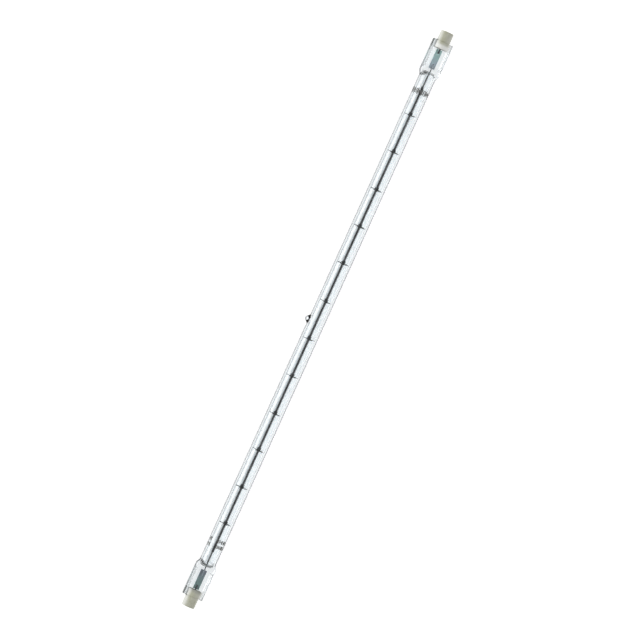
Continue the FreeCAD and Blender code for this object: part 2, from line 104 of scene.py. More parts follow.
def smooth_step(low, high, value):
    """0 below low, 1 above high, and a soft rise between them."""
    share = min(max((value - low) / (high - low), 0.0), 1.0)
    return share * share * (3 - 2 * share)


def run(start, end, step):
    """Places from start up to end, about step apart. The end itself opens the next run."""
    count = max(1, round(abs(end - start) / step))
    return [start + (end - start) * k / count for k in range(count)]


# %% [markdown]
# The camera
# The picture looks down on the lamp from far away, so a long lens far above it gives the same flat
# view. It stands a little round towards the side of the sealed-off stem, because the press shows a
# dark edge on that side and hardly any on the other. The lamp leans to the right of upright, which is
# a turn of the camera about its own line of sight. How far away the camera stands follows from how
# many pixels the lamp is long.

# %% Place the camera
# The side of the picture, and the lamp's length and middle in it, in pixels.
PHOTO_SIDE = 640
LAMP_PIXELS = 630
LAMP_CENTRE_X = 317.65
LAMP_CENTRE_Y = 319.4
# The lamp's turn from upright, and the camera's way round the lamp from straight above.
LEAN = math.radians(24.36)
VIEW_ROLL = math.radians(16)
LENS = 200
SENSOR = 36

lamp_end = corners("ceramic_cap_a")[1].x
millimetres_per_pixel = 2 * lamp_end / LAMP_PIXELS
view_width = PHOTO_SIDE * millimetres_per_pixel
camera_distance = view_width * LENS / SENSOR
picture_up = Vector((math.cos(LEAN), math.sin(LEAN), 0))
picture_right = Vector((math.sin(LEAN), -math.cos(LEAN), 0))
right_shift = (PHOTO_SIDE / 2 - LAMP_CENTRE_X) * millimetres_per_pixel
up_shift = (LAMP_CENTRE_Y - PHOTO_SIDE / 2) * millimetres_per_pixel

lens = bpy.data.cameras.new("camera")
lens.lens = LENS
lens.sensor_width = SENSOR
camera = bpy.data.objects.new("camera", lens)
level_place = picture_right * right_shift + picture_up * up_shift
level_place.z = camera_distance
roll = Matrix.Rotation(-VIEW_ROLL, 3, "X")
camera.location = roll @ level_place * MM
camera.rotation_euler = (roll @ Matrix.Rotation(LEAN - math.pi / 2, 3, "Z")).to_euler()
bpy.context.scene.collection.objects.link(camera)
bpy.context.scene.camera = camera
bpy.context.scene.view_settings.view_transform = "Standard"
print(f"the camera is {camera_distance:.0f} mm away and sees {view_width:.1f} mm across")

# %% [markdown]
# The floor and the lights
# Clear glass has no colour of its own: it shows the floor through it, and the lights in its surface.
# The floor is white card. Part of its white is a glow that only the camera, mirrors and glass see, so
# that the ground is clean white while the lamp still leaves its soft shadow on it. Two long soft
# boxes hang low on either side, a little brighter on the stem's side, and light the ceramic and the
# wires evenly. The room above them is dimmer, and the glass mirrors it where it turns away from the
# eye. The grey edges of the glass are painted shade in its finish.

# %% Helpers for materials
def new_material(name):
    """A material with its node tree and its main shader."""
    material = bpy.data.materials.new(name)
    material.use_nodes = True
    return material, material.node_tree, material.node_tree.nodes["Principled BSDF"]


def add_node(tree, kind, settings=(), inputs=()):
    """A node with its settings and with the values of its sockets."""
    node = tree.nodes.new(f"ShaderNode{kind}")
    for key, value in dict(settings).items():
        setattr(node, key, value)
    for key, value in dict(inputs).items():
        node.inputs[key].default_value = value
    return node


# %% Lay the floor
# The studio is measured in metres.
FLOOR_SIZE = 12.0

floor_level = cad_box[0].z
floor_mesh = bpy.data.meshes.new("floor")
signs = [(-1, -1), (1, -1), (1, 1), (-1, 1)]
floor_corners = [(x * FLOOR_SIZE / 2, y * FLOOR_SIZE / 2, floor_level) for x, y in signs]
floor_mesh.from_pydata(floor_corners, [], [(0, 1, 2, 3)])
floor = bpy.data.objects.new("floor", floor_mesh)
bpy.context.scene.collection.objects.link(floor)
print(f"the floor lies {floor_level / MM:.2f} mm from the lamp's axis")

# %% Give the floor its glow
CARD_COLOUR = (0.78, 0.78, 0.78, 1)
GLOW_SEEN = 0.6
GLOW_THROUGH_GLASS = 0.42
GLOW_IN_GLOSS = 0.1

card, card_tree, card_shader = new_material("white_card")
card_shader.inputs["Base Color"].default_value = CARD_COLOUR
card_shader.inputs["Roughness"].default_value = 1.0
card_shader.inputs["Specular IOR Level"].default_value = 0.0
glow = add_node(card_tree, "Emission")
rays = add_node(card_tree, "LightPath")
strength = None
for ray, share in (
    ("Is Camera Ray", GLOW_SEEN),
    ("Is Transmission Ray", GLOW_THROUGH_GLASS),
    ("Is Glossy Ray", GLOW_IN_GLOSS),
):
    part = add_node(card_tree, "Math", {"operation": "MULTIPLY_ADD"}, {1: share, 2: 0.0})
    card_tree.links.new(rays.outputs[ray], part.inputs[0])
    if strength is not None:
        card_tree.links.new(strength, part.inputs[2])
    strength = part.outputs[0]
card_tree.links.new(strength, glow.inputs["Strength"])
both = add_node(card_tree, "AddShader")
card_tree.links.new(card_shader.outputs[0], both.inputs[0])
card_tree.links.new(glow.outputs[0], both.inputs[1])
card_tree.links.new(both.outputs[0], card_tree.nodes["Material Output"].inputs["Surface"])
floor_mesh.materials.append(card)
print(f"the card's own glow is {GLOW_SEEN} of full white")

# %% Hang the lights
ROOM_LIGHT = 0.42
BOX_LENGTH = 1.2
BOX_WIDTH = 0.75
BOX_DISTANCE = 1.1
BOX_TILT = math.radians(70)
LEFT_POWER = 11.0
RIGHT_POWER = 7.0

room = bpy.data.worlds.new("dim_room")
room.use_nodes = True
room.node_tree.nodes["Background"].inputs["Color"].default_value = (1, 1, 1, 1)
room.node_tree.nodes["Background"].inputs["Strength"].default_value = ROOM_LIGHT
bpy.context.scene.world = room


def hang_box(name, side, power):
    """A long soft box beside the lamp, facing it from above the floor."""
    light = bpy.data.lights.new(name, "AREA")
    light.shape = "RECTANGLE"
    light.size = BOX_LENGTH
    light.size_y = BOX_WIDTH
    light.energy = power
    box = bpy.data.objects.new(name, light)
    away = Vector((0, side * math.sin(BOX_TILT), math.cos(BOX_TILT)))
    box.location = away * BOX_DISTANCE
    box.rotation_euler = (-side * BOX_TILT, 0, 0)
    bpy.context.scene.collection.objects.link(box)
    return box


soft_boxes = [hang_box("soft_box_left", 1, LEFT_POWER), hang_box("soft_box_right", -1, RIGHT_POWER)]
print("soft boxes at", [list(box.location) for box in soft_boxes])

# %% [markdown]
# The quartz outside
# The bulb is fused quartz: a drawn tube whose ends were heated and pressed between two jaws. The
# jaws leave a flat web with a thick rail along each side, and the pump's stem leaves a small bead on
# the tube's side. One way to model this is to cut and join solids, but that leaves hard seams which
# clear glass shows at once. Here each cross section is a ring of points, worked out by a formula
# that runs softly from round to flat, and the rings are joined into one skin. They lie close where
# the shape changes and far apart where it doesn't.

# %% Measure the quartz
# Lengths are in millimetres from the lamp's middle, radii and heights from its axis. The tube is drawn
# a hair thinner than its solid, so that the ink on it stays inside the lamp's box.
INK_FILM = 0.01

quartz_low, quartz_high = corners("quartz_envelope")
tube_radius = -quartz_low.z - INK_FILM
press_side = -quartz_low.y
press_end = quartz_high.x
tip_height = quartz_high.y - tube_radius
print(f"the tube is {2 * tube_radius:.2f} mm across and a press {2 * press_side:.2f} mm wide")

# %% The section of a press
RAIL_TOP = 2.0
RAIL_CORNER = 0.7
CORNER_ANGLE = math.radians(22)
WEB_TOP = 1.1
WEB_SIDE = 4.4
WEB_FILLET = 0.3


def clamp(value, limit):
    """The value, kept between minus limit and limit."""
    return min(max(value, -limit), limit)


def flat_point(angle, web_share):
    """A point round the pressed end: rounded rails at the sides, a thinner web between them."""
    across, up = math.cos(angle), math.sin(angle)
    if abs(up) >= math.sin(CORNER_ANGLE):
        sharp = Vector((press_side * across / math.cos(CORNER_ANGLE), math.copysign(RAIL_TOP, up)))
    else:
        sharp = Vector((math.copysign(press_side, across), RAIL_TOP * up / math.sin(CORNER_ANGLE)))
    inner = Vector((clamp(sharp.x, press_side - RAIL_CORNER), clamp(sharp.y, RAIL_TOP - RAIL_CORNER)))
    point = inner + RAIL_CORNER * (sharp - inner).normalized()
    recess = 1 - smooth_step(WEB_SIDE - WEB_FILLET, WEB_SIDE + WEB_FILLET, abs(point.x))
    point.y -= math.copysign(web_share * recess * (RAIL_TOP - WEB_TOP), point.y)
    return point


# %% One ring of the outside
RING_POINTS = 160
# Where the tube begins to flatten and is flat, and where the web begins to sink and is sunk.
TUBE_END = 139.2
PRESS_START = 142.8
WEB_START = 143.0
WEB_FULL = 145.8
# The stem's bead: where it stands, the radii of its top and its foot, and how far it can reach.
TIP_PLACE = -1.6
TIP_TOP = 0.6
TIP_FOOT = 2.75
TIP_REACH = 3.2
INSET_REACH = 0.6

ring_angles = [2 * math.pi * k / RING_POINTS for k in range(RING_POINTS)]


def tip_swell(place, height, top, foot, rise):
    """How far the glass stands out at a point near the sealed-off stem."""
    reach = math.hypot(place - TIP_PLACE, height)
    return rise * (1 - smooth_step(top, foot, reach))


def outside_ring(place, inset=0.0):
    """The ring of the outside at a place along the lamp, drawn in by inset at the very ends.

    Points within INSET_REACH of the middle are drawn in less, so that none of them meet.
    """
    flatness = smooth_step(TUBE_END, PRESS_START, abs(place))
    web_share = smooth_step(WEB_START, WEB_FULL, abs(place))
    ring = []
    for angle in ring_angles:
        point = Vector((math.cos(angle), math.sin(angle))) * tube_radius
        if flatness > 0:
            point = point.lerp(flat_point(angle, web_share), flatness)
        elif point.x > 0 and abs(place - TIP_PLACE) < TIP_REACH:
            point.x += tip_swell(place, point.y, TIP_TOP, TIP_FOOT, tip_height)
        point.x -= inset * clamp(point.x / INSET_REACH, 1)
        point.y -= inset * clamp(point.y / INSET_REACH, 1)
        ring.append((place, point.x, point.y))
    return ring


# %% Join rings into a skin
# How many points on either side of a press make up one face of its flat end.
SIDE_STEPS = 9


def join_rings(rings, outward=True):
    """The vertices of rings, and the faces between one ring and the next."""
    count = len(rings[0])
    vertices = [point for ring in rings for point in ring]
    faces = []
    for one in range(len(rings) - 1):
        for k in range(count):
            a = one * count + k
            b = one * count + (k + 1) % count
            face = (a, b, b + count, a + count)
            faces.append(face if outward else face[::-1])
    return vertices, faces


def close_flat(first, count, facing_up):
    """Faces across a ring that starts at vertex first: one at each side, and strips between them."""
    half = count // 2
    near_side = [*range(SIDE_STEPS + 1), *range(count - SIDE_STEPS, count)]
    far_side = [*range(half - SIDE_STEPS, half + SIDE_STEPS + 1)]
    strips = [[k, k + 1, count - k - 1, count - k] for k in range(SIDE_STEPS, half - SIDE_STEPS)]
    faces = []
    for row in [near_side, *strips, far_side]:
        face = [first + index for index in row]
        faces.append(face if facing_up else face[::-1])
    return faces


# %% Draw the outside of the quartz
END_ROUND = 0.25
ROUND_STEPS = 5
# About how far apart the rings stand in each part of the lamp.
SHOULDER_STEP = 0.12
PRESS_STEP = 0.8
TIP_STEP = 0.16
TUBE_STEP = 8


def mirrored(places):
    """The same places on the other half of the lamp, in rising order."""
    return [-place for place in reversed(places)]


shoulder = run(TUBE_END, WEB_FULL, SHOULDER_STEP)
press = run(WEB_FULL, press_end - END_ROUND, PRESS_STEP)
tip_run = run(TIP_PLACE - TIP_REACH, TIP_PLACE + TIP_REACH, TIP_STEP)
straight = run(TIP_PLACE + TIP_REACH, TUBE_END, TUBE_STEP)
other_straight = run(TUBE_STEP - TUBE_END, TIP_PLACE - TIP_REACH, TUBE_STEP)
places = mirrored(shoulder + press) + other_straight + tip_run + straight + shoulder + press
rounding = [math.pi / 2 * k / ROUND_STEPS for k in range(ROUND_STEPS + 1)]
outside_rings = [outside_ring(place) for place in places]
for turn in rounding:
    edge = press_end - END_ROUND * (1 - math.sin(turn))
    inset = END_ROUND * (1 - math.cos(turn))
    outside_rings.append(outside_ring(edge, inset))
    outside_rings.insert(0, outside_ring(-edge, inset))
outside_vertices, outside_faces = join_rings(outside_rings)
outside_faces += close_flat(0, RING_POINTS, False)
outside_faces += close_flat(len(outside_vertices) - RING_POINTS, RING_POINTS, True)
print(f"outside of the quartz: {len(outside_rings)} rings of {RING_POINTS} points")

# %% [markdown]
# The gas space
# Inside the tube is gas, so the glass has a second skin that faces inwards. The presses close it:
# seen from above it ends in a shallow curve, and seen from the side in a half round. The stem left a
# narrow hollow under its bead. A Solidify modifier would give a wall of even thickness, which the
# pressed ends don't have, so this skin is drawn from rings of its own.

# %% Draw the gas space
BORE_RADIUS = 3.5
GAS_END = 142.0
PLAN_NOSE = 1.6
NOSE_STEPS = 16
# The hollow of the stem: the radii of its top and its foot, its depth, and how far it can reach.
HOLLOW_TOP = 0.3
HOLLOW_FOOT = 0.95
HOLLOW_RISE = 2.0
HOLLOW_REACH = 1.3
HOLLOW_STEP = 0.06
# The points of each ring are crowded towards the stem's side, where the hollow needs them.
BORE_POINTS = 128
CROWDING = 0.8

bore_turns = [2 * math.pi * k / BORE_POINTS for k in range(BORE_POINTS)]
bore_angles = [turn - CROWDING * math.sin(turn) for turn in bore_turns]


def nose_share(place, length):
    """What is left of the bore's width where its end curves in over a length."""
    past = (abs(place) - (GAS_END - length)) / length
    return math.sqrt(max(1 - max(past, 0) ** 2, 0))


def bore_ring(place):
    """The ring of the gas space at a place along the lamp."""
    half_width = BORE_RADIUS * nose_share(place, PLAN_NOSE)
    half_height = BORE_RADIUS * nose_share(place, BORE_RADIUS)
    ring = []
    for angle in bore_angles:
        across, up = half_width * math.cos(angle), half_height * math.sin(angle)
        if across > 0 and abs(place - TIP_PLACE) < HOLLOW_REACH:
            across += tip_swell(place, up, HOLLOW_TOP, HOLLOW_FOOT, HOLLOW_RISE)
        ring.append((place, across, up))
    return ring


nose = run(GAS_END - BORE_RADIUS, GAS_END - PLAN_NOSE, SHOULDER_STEP)
nose += [GAS_END - PLAN_NOSE * (1 - math.sin(math.pi / 2 * k / NOSE_STEPS)) for k in range(NOSE_STEPS)]
hollow_run = run(TIP_PLACE - HOLLOW_REACH, TIP_PLACE + HOLLOW_REACH, HOLLOW_STEP)
far_bore = run(TIP_PLACE + HOLLOW_REACH, GAS_END - BORE_RADIUS, TUBE_STEP)
near_bore = run(TUBE_STEP + BORE_RADIUS - GAS_END, TIP_PLACE - HOLLOW_REACH, TUBE_STEP)
bore_places = mirrored(nose) + near_bore + hollow_run + far_bore + nose
bore_vertices, bore_faces = join_rings([bore_ring(place) for place in bore_places], outward=False)
last_ring = len(bore_vertices) - BORE_POINTS
bore_vertices += [(-GAS_END, 0, 0), (GAS_END, 0, 0)]
for k in range(BORE_POINTS):
    following = (k + 1) % BORE_POINTS
    bore_faces.append((k, following, len(bore_vertices) - 2))
    bore_faces.append((last_ring + following, last_ring + k, len(bore_vertices) - 1))
print(f"gas space: {len(bore_places)} rings of {BORE_POINTS} points")

# %% [markdown]
# Finishes made of nodes
# No finish on the real lamp is one even colour: it drifts, has a grain, and changes near a weld or an
# edge. A picture wrapped round a piece could hold all that, but it needs unwrapping and blurs from
# near by. So a few helpers join Blender's nodes instead: they ask where a point lies on the lamp, let
# a noise or a ramp answer, and mix colours by the answer. Each hands on a socket for the next.

# %% Helpers for places and sums
def whereabouts(tree):
    """The place of a point on its piece."""
    return add_node(tree, "TexCoord").outputs["Object"]


def coordinate(tree, where, axis):
    """How far along the lamp (X) or across it (Y) a place lies."""
    split = add_node(tree, "SeparateXYZ")
    tree.links.new(where, split.inputs[0])
    return split.outputs[axis]


def sums(tree, operation, one, other=None):
    """The result of one operation on a socket, or on two."""
    step = add_node(tree, "Math", {"operation": operation})
    tree.links.new(one, step.inputs[0])
    if other is not None:
        tree.links.new(other, step.inputs[1])
    return step.outputs[0]


def spread(tree, socket, given=(0.0, 1.0), wanted=(0.0, 1.0), rise="LINEAR"):
    """A value carried from one range to another, and kept inside it."""
    carried = add_node(tree, "MapRange", {"interpolation_type": rise})
    for name, value in zip(("From Min", "From Max", "To Min", "To Max"), (*given, *wanted)):
        carried.inputs[name].default_value = value
    tree.links.new(socket, carried.inputs["Value"])
    return carried.outputs["Result"]


def ramp(tree, socket, low, high, wanted=(0.0, 1.0)):
    """A soft change while a place goes from low to high, both in millimetres."""
    return spread(tree, socket, (low * MM, high * MM), wanted, "SMOOTHSTEP")


# %% Helpers for spots, colours and relief
def speckle(tree, where, scale, detail, **settings):
    """A noise over the piece: the larger its scale, the finer its spots."""
    spots = add_node(tree, "TexNoise", inputs={"Scale": scale, "Detail": detail, **settings})
    tree.links.new(where, spots.inputs["Vector"])
    return spots.outputs["Fac"]


def blend(tree, share, one, other):
    """One colour where share is 0 and another where it is 1. Either may be a colour or a socket."""
    mix = add_node(tree, "Mix", {"data_type": "RGBA"})
    for key, value in (("A", one), ("B", other)):
        if isinstance(value, tuple):
            mix.inputs[key].default_value = value
        else:
            tree.links.new(value, mix.inputs[key])
    tree.links.new(share, mix.inputs["Factor"])
    return mix.outputs["Result"]


def emboss(tree, shader, height, strength, depth):
    """Bends the light on a finish as if its surface rose and fell by a depth in metres."""
    relief = add_node(tree, "Bump", inputs={"Strength": strength, "Distance": depth})
    tree.links.new(height, relief.inputs["Height"])
    tree.links.new(relief.outputs["Normal"], shader.inputs["Normal"])


# %% [markdown]
# The finish of the quartz
# Drawn quartz is clear, with faint lines along it where it left the die. Where the eye meets it edge
# on, its colour is made greyer as painted shade. A painted grey shade also lies along the press's rail
# on the stem's side, and the other rail is kept free of the edge shade. A noise stretched along the
# lamp bends the light for the lines, Layer Weight finds the grazing parts, and the place on the lamp
# finds the rails. One finish serves both skins, because they bound the same glass.

# %% Clear quartz
QUARTZ_COLOUR = (0.90, 0.928, 0.942, 1)
QUARTZ_IOR = 1.458
# The painted shade on glass that is seen edge on, and how far it is turned away where that starts and is
# full.
EDGE_SHADE_COLOUR = (0.3, 0.31, 0.32, 1)
EDGE_SHADE_FACING = (0.46, 0.63)
EDGE_SHADE_BLEND = 0.5
# Painted shade along the press's rail on the stem's side.
RAIL_SHADE_COLOUR = (0.42, 0.45, 0.46, 1)
# Where each change starts and where it is full, along and then across the lamp.
RAIL_FADE_IN = (143.0, 144.5)
RAIL_SHADE_SPAN = (4.6, 5.1)
# Across the other rail, the painted edge shade is taken off.
UNSHADED_RAIL_SPAN = (-4.2, -4.6)
DRAW_LINE_SCALE = 420
DRAW_LINE_STRETCH = (0.04, 1, 1)
DRAW_LINE_DEPTH = 0.000003


def clear_quartz(name):
    """Clear quartz with faint draw lines, with painted shade where it is seen edge on and along one rail.
    """
    material, tree, shader = new_material(name)
    shader.inputs["Transmission Weight"].default_value = 1.0
    shader.inputs["IOR"].default_value = QUARTZ_IOR
    shader.inputs["Roughness"].default_value = 0.0
    where = whereabouts(tree)
    along, across = coordinate(tree, where, "X"), coordinate(tree, where, "Y")
    pressed = ramp(tree, sums(tree, "ABSOLUTE", along), *RAIL_FADE_IN)
    rail_shade = sums(tree, "MULTIPLY", pressed, ramp(tree, across, *RAIL_SHADE_SPAN))
    unshaded_rail = sums(tree, "MULTIPLY", pressed, ramp(tree, across, *UNSHADED_RAIL_SPAN))
    # The grey where the glass turns away from the eye and along the stem's rail is painted shade.
    facing = add_node(tree, "LayerWeight", inputs={"Blend": EDGE_SHADE_BLEND}).outputs["Facing"]
    edge_shade = sums(tree, "SUBTRACT", spread(tree, facing, EDGE_SHADE_FACING), unshaded_rail)
    edge_shaded = blend(tree, edge_shade, QUARTZ_COLOUR, EDGE_SHADE_COLOUR)
    tree.links.new(blend(tree, rail_shade, edge_shaded, RAIL_SHADE_COLOUR), shader.inputs["Base Color"])
    stretch = add_node(tree, "Mapping", inputs={"Scale": DRAW_LINE_STRETCH})
    tree.links.new(where, stretch.inputs["Vector"])
    lines = speckle(tree, stretch.outputs["Vector"], DRAW_LINE_SCALE, detail=1.0)
    emboss(tree, shader, lines, strength=0.5, depth=DRAW_LINE_DEPTH)
    return material, tree, shader


# %% [markdown]
# The shaded ends
# Where the pressed end meets the gas space, the glass shows a grey band in an arc that follows the
# curved end of the space, darker towards the stem's side. Here that band is painted shade. Frosting
# the whole end would hide the pin. So a thin dark film of painted shade is mixed over the clear
# finish, and two places steer it: how far along the lamp a point lies, with the curve taken off, and
# how far across.

# %% Paint the shade at the ends and make the quartz
END_SHADE_LENGTH = 1.5
END_SHADE_FADE = 0.5
# How thick the painted shade is on the stem's side and on the other side, and how far across it starts to
# grow.
END_SHADE_THICK = {"a": 0.7, "b": 0.6}
END_SHADE_THIN = {"a": 0.0, "b": 0.22}
END_SHADE_FROM = {"a": -1.0, "b": -2.0}
END_SHADE_COLOUR = (0.1, 0.105, 0.105, 1)


def end_shaded_quartz(end):
    """Quartz whose inner skin has painted shade in an arc along the end of the gas space."""
    material, tree, shader = clear_quartz(f"end_shaded_quartz_{end}")
    where = whereabouts(tree)
    along, across = coordinate(tree, where, "X"), coordinate(tree, where, "Y")
    curve = PLAN_NOSE / (BORE_RADIUS * BORE_RADIUS * MM)
    depth = add_node(tree, "Math", {"operation": "MULTIPLY_ADD"}, {1: curve})
    tree.links.new(sums(tree, "MULTIPLY", across, across), depth.inputs[0])
    tree.links.new(sums(tree, "ABSOLUTE", along), depth.inputs[2])
    shade_start = GAS_END - END_SHADE_LENGTH
    arc = ramp(tree, depth.outputs[0], shade_start, shade_start + END_SHADE_FADE)
    sideways = (END_SHADE_FROM[end] * MM, BORE_RADIUS * MM)
    thickness = spread(tree, across, sideways, (END_SHADE_THIN[end], END_SHADE_THICK[end]))
    film = add_node(tree, "BsdfDiffuse")
    film.inputs["Color"].default_value = END_SHADE_COLOUR
    both = add_node(tree, "MixShader")
    tree.links.new(sums(tree, "MULTIPLY", arc, thickness), both.inputs["Fac"])
    tree.links.new(shader.outputs[0], both.inputs[1])
    tree.links.new(film.outputs[0], both.inputs[2])
    tree.links.new(both.outputs[0], tree.nodes["Material Output"].inputs["Surface"])
    return material


offset = len(outside_vertices)
quartz_faces = outside_faces + [[offset + index for index in face] for face in bore_faces]
quartz_body = make_piece(
    "quartz_body", outside_vertices + bore_vertices, quartz_faces, clear_quartz("clear_quartz")[0],
    ["quartz_envelope"]
)
# Both ends of the gas space get the finish with painted shade.
for end in ENDS:
    quartz_body.data.materials.append(end_shaded_quartz(end))
for face in quartz_body.data.polygons[len(outside_faces):]:
    if abs(face.center.x) > (GAS_END - BORE_RADIUS) * MM:
        face.material_index = 1 if face.center.x > 0 else 2

# %% [markdown]
# Wire
# The filament and its supports are round wire that follows a line. A curve with a bevel would do, but
# a long coil is easier to control as a mesh: a small ring of points is carried along the line and
# turned as little as possible from one step to the next.

# %% A round wire along a line
WIRE_SIDES = 8


def sweep(points, radius):
    """The vertices and faces of a round wire along points, closed at both ends."""
    line = [Vector(point) for point in points]
    side = None
    rings = []
    for index, point in enumerate(line):
        before = line[max(index - 1, 0)]
        after = line[min(index + 1, len(line) - 1)]
        along = (after - before).normalized()
        side = along.orthogonal() if side is None else side - along * side.dot(along)
        side.normalize()
        other = along.cross(side)
        angles = [2 * math.pi * k / WIRE_SIDES for k in range(WIRE_SIDES)]
        rings.append([point + radius * (math.cos(t) * side + math.sin(t) * other) for t in angles])
    vertices, faces = join_rings(rings)
    faces.append(list(range(WIRE_SIDES))[::-1])
    faces.append([len(vertices) - WIRE_SIDES + k for k in range(WIRE_SIDES)])
    return vertices, faces


# %% [markdown]
# The filament
# Tungsten wire is wound on a rod, about four hundred turns in this lamp, and the rod is then etched
# away. It hangs between its supports and sags a little. At each end the turns close up where they
# grip the lead. An Array modifier repeats one turn evenly, which neither the sag nor the close turns
# allow, so a single spiral line makes it, whose step from turn to turn changes along the way.

# %% Wind the filament
COIL_WIRE = 0.19
COIL_PITCH = 0.58
GRIP_PITCH = 0.4
GRIP_LENGTH = 4.0
GRIP_FADE = 1
TURN_STEPS = 12
COIL_SAG = 0.12
# How far the close turns of each support reach past its ring, which stands where it holds the coil.
WRAP_LEAD = 0.6

coil_high = corners("filament_coil")[1]
coil_end = coil_high.x
coil_line_radius = coil_high.z - COIL_WIRE
support_names = sorted(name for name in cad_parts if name.startswith("filament_support"))
ring_places = [corners(name)[0].x + WRAP_LEAD for name in support_names]
held_places = [-coil_end, *ring_places, coil_end]


def sag_at(place):
    """How far the filament hangs at a place between the two points that hold it."""
    for low, high in zip(held_places, held_places[1:]):
        if low <= place <= high:
            share = (place - low) / (high - low)
            return -COIL_SAG * 4 * share * (1 - share)
    return 0.0


coil_points = []
place, turn = COIL_WIRE - coil_end, 0.0
while place < coil_end - COIL_WIRE:
    hanging = sag_at(place)
    across, up = coil_line_radius * math.cos(turn), coil_line_radius * math.sin(turn)
    coil_points.append((place, across, up + hanging))
    loose = smooth_step(GRIP_LENGTH, GRIP_LENGTH + GRIP_FADE, coil_end - abs(place))
    place += (GRIP_PITCH + (COIL_PITCH - GRIP_PITCH) * loose) / TURN_STEPS
    turn += 2 * math.pi / TURN_STEPS

filament_shape = sweep(coil_points, COIL_WIRE)
print(f"the filament has {turn / (2 * math.pi):.0f} turns")

# %% [markdown]
# Drawn metal
# Tungsten comes dark from the drawing die, and its grey drifts along the wire. Fine grain breaks the
# gloss. One function makes this finish for each metal of the lamp from its two colours, its roughness
# and the scale of the drift, and a weld can leave another colour past a place along the lamp.

# %% Finish the filament
WELD_FADE = 0.5
# How many times finer the grain is than the drift, and how far it moves the roughness down and up.
GRAIN_SCALE = 40
GLOSS_SPAN = (-0.08, 0.12)
METAL_RELIEF = 0.00002
TUNGSTEN = {
    "dark": (0.045, 0.05, 0.052, 1),
    "pale": (0.11, 0.12, 0.122, 1),
    "roughness": 0.45,
    "drift_scale": 160,
}


def drawn_metal(name, dark, pale, roughness, drift_scale, welded=None):
    """Metal whose colour drifts and whose gloss is grainy. welded is a place and a colour past it."""
    material, tree, shader = new_material(name)
    shader.inputs["Metallic"].default_value = 1.0
    where = whereabouts(tree)
    tone = blend(tree, speckle(tree, where, drift_scale, detail=4.0), dark, pale)
    if welded:
        start, weld_colour = welded
        along = sums(tree, "ABSOLUTE", coordinate(tree, where, "X"))
        past = ramp(tree, along, start - WELD_FADE, start + WELD_FADE)
        tone = blend(tree, past, tone, weld_colour)
    tree.links.new(tone, shader.inputs["Base Color"])
    grain = speckle(tree, where, drift_scale * GRAIN_SCALE, detail=2.0)
    gloss = spread(tree, grain, wanted=[roughness + change for change in GLOSS_SPAN])
    tree.links.new(gloss, shader.inputs["Roughness"])
    emboss(tree, shader, grain, strength=0.3, depth=METAL_RELIEF)
    return material


tungsten = drawn_metal("tungsten", **TUNGSTEN)
filament = make_piece("filament", *filament_shape, tungsten, ["filament_coil"])

# %% [markdown]
# The supports
# Each support is one thin wire. It grips the filament with close turns, then widens in a short
# spiral to an open ring that stands loose in the tube. They were bent by hand and slid into the
# tube, so no two stand quite alike. Copies of one mesh would look too even, so each is drawn anew,
# turned and tipped a little by random numbers that are the same in every run.

# %% The line of one support
SUPPORT_WIRE = 0.15
WRAP_LENGTH = 2.15
WRAP_GAP = 0.01
RING_RADIUS = 3.05
SPIRAL_TURNS = 1.4
RING_TURNS = 0.88
# How many points a turn has, on the coil and on the way out to the ring.
WRAP_STEPS = 16
FLARE_STEPS = 48


def support_line(start_turn):
    """The line of one support, round the X axis, with its ring at the origin."""
    wrap_radius = coil_high.z + SUPPORT_WIRE
    wrap_pitch = 2 * SUPPORT_WIRE + WRAP_GAP
    first = WRAP_LENGTH - WRAP_LEAD - SUPPORT_WIRE
    last = SUPPORT_WIRE - WRAP_LEAD
    wrap_turns = (first - last) / wrap_pitch
    wrap_steps = round(wrap_turns * WRAP_STEPS)
    flare_steps = round((SPIRAL_TURNS + RING_TURNS) * FLARE_STEPS)
    points = []
    for k in range(wrap_steps):
        share = k / wrap_steps
        points.append((first + (last - first) * share, wrap_radius, wrap_turns * share))
    for k in range(flare_steps + 1):
        turns = (SPIRAL_TURNS + RING_TURNS) * k / flare_steps
        flare = smooth_step(0, SPIRAL_TURNS, turns)
        radius = wrap_radius + (RING_RADIUS - wrap_radius) * flare
        points.append((last * (1 - flare), radius, wrap_turns + turns))
    line = []
    for place, radius, turns in points:
        angle = start_turn + 2 * math.pi * turns
        line.append(Vector((place, radius * math.cos(angle), radius * math.sin(angle))))
    return line


# %% Bend the supports
# Each is turned on by so many degrees from the last, and tipped by up to so many.
SUPPORT_TURN = 50
TIP_OVER = 4.0
BEND_SEED = 12
draws = random.Random(BEND_SEED)

for number, (name, ring_place) in enumerate(zip(support_names, ring_places), start=1):
    lean = math.radians(draws.uniform(-TIP_OVER, TIP_OVER))
    nod = math.radians(draws.uniform(-TIP_OVER, TIP_OVER))
    tipped = Matrix.Rotation(lean, 3, "Z") @ Matrix.Rotation(nod, 3, "Y")
    line = []
    for point in support_line(math.radians(number * SUPPORT_TURN)):
        outward = smooth_step(coil_high.z + 2 * SUPPORT_WIRE, RING_RADIUS, math.hypot(point.y, point.z))
        line.append(point.lerp(tipped @ point, outward) + Vector((ring_place, 0, 0)))
    support = make_piece(f"support_wire_{number:02d}", *sweep(line, SUPPORT_WIRE), tungsten, [name])

# %% [markdown]
# Turned and drawn pieces
# Pins, contacts and caps are round: each was drawn through a die, turned or pressed in a round mould.
# Blender's Screw modifier can turn an outline about an axis. Here a short function does it, so that
# the outline stays a list of (place, radius) and the same points can be flattened or cut afterwards.
# Where the outline meets the axis, its ring shrinks to one point, and the points there are merged.

# %% A turned piece from its outline
CORNER_STEPS = 4
# How near each other points are merged.
MERGE_DISTANCE = 0.002
FINE_MERGE = 0.001


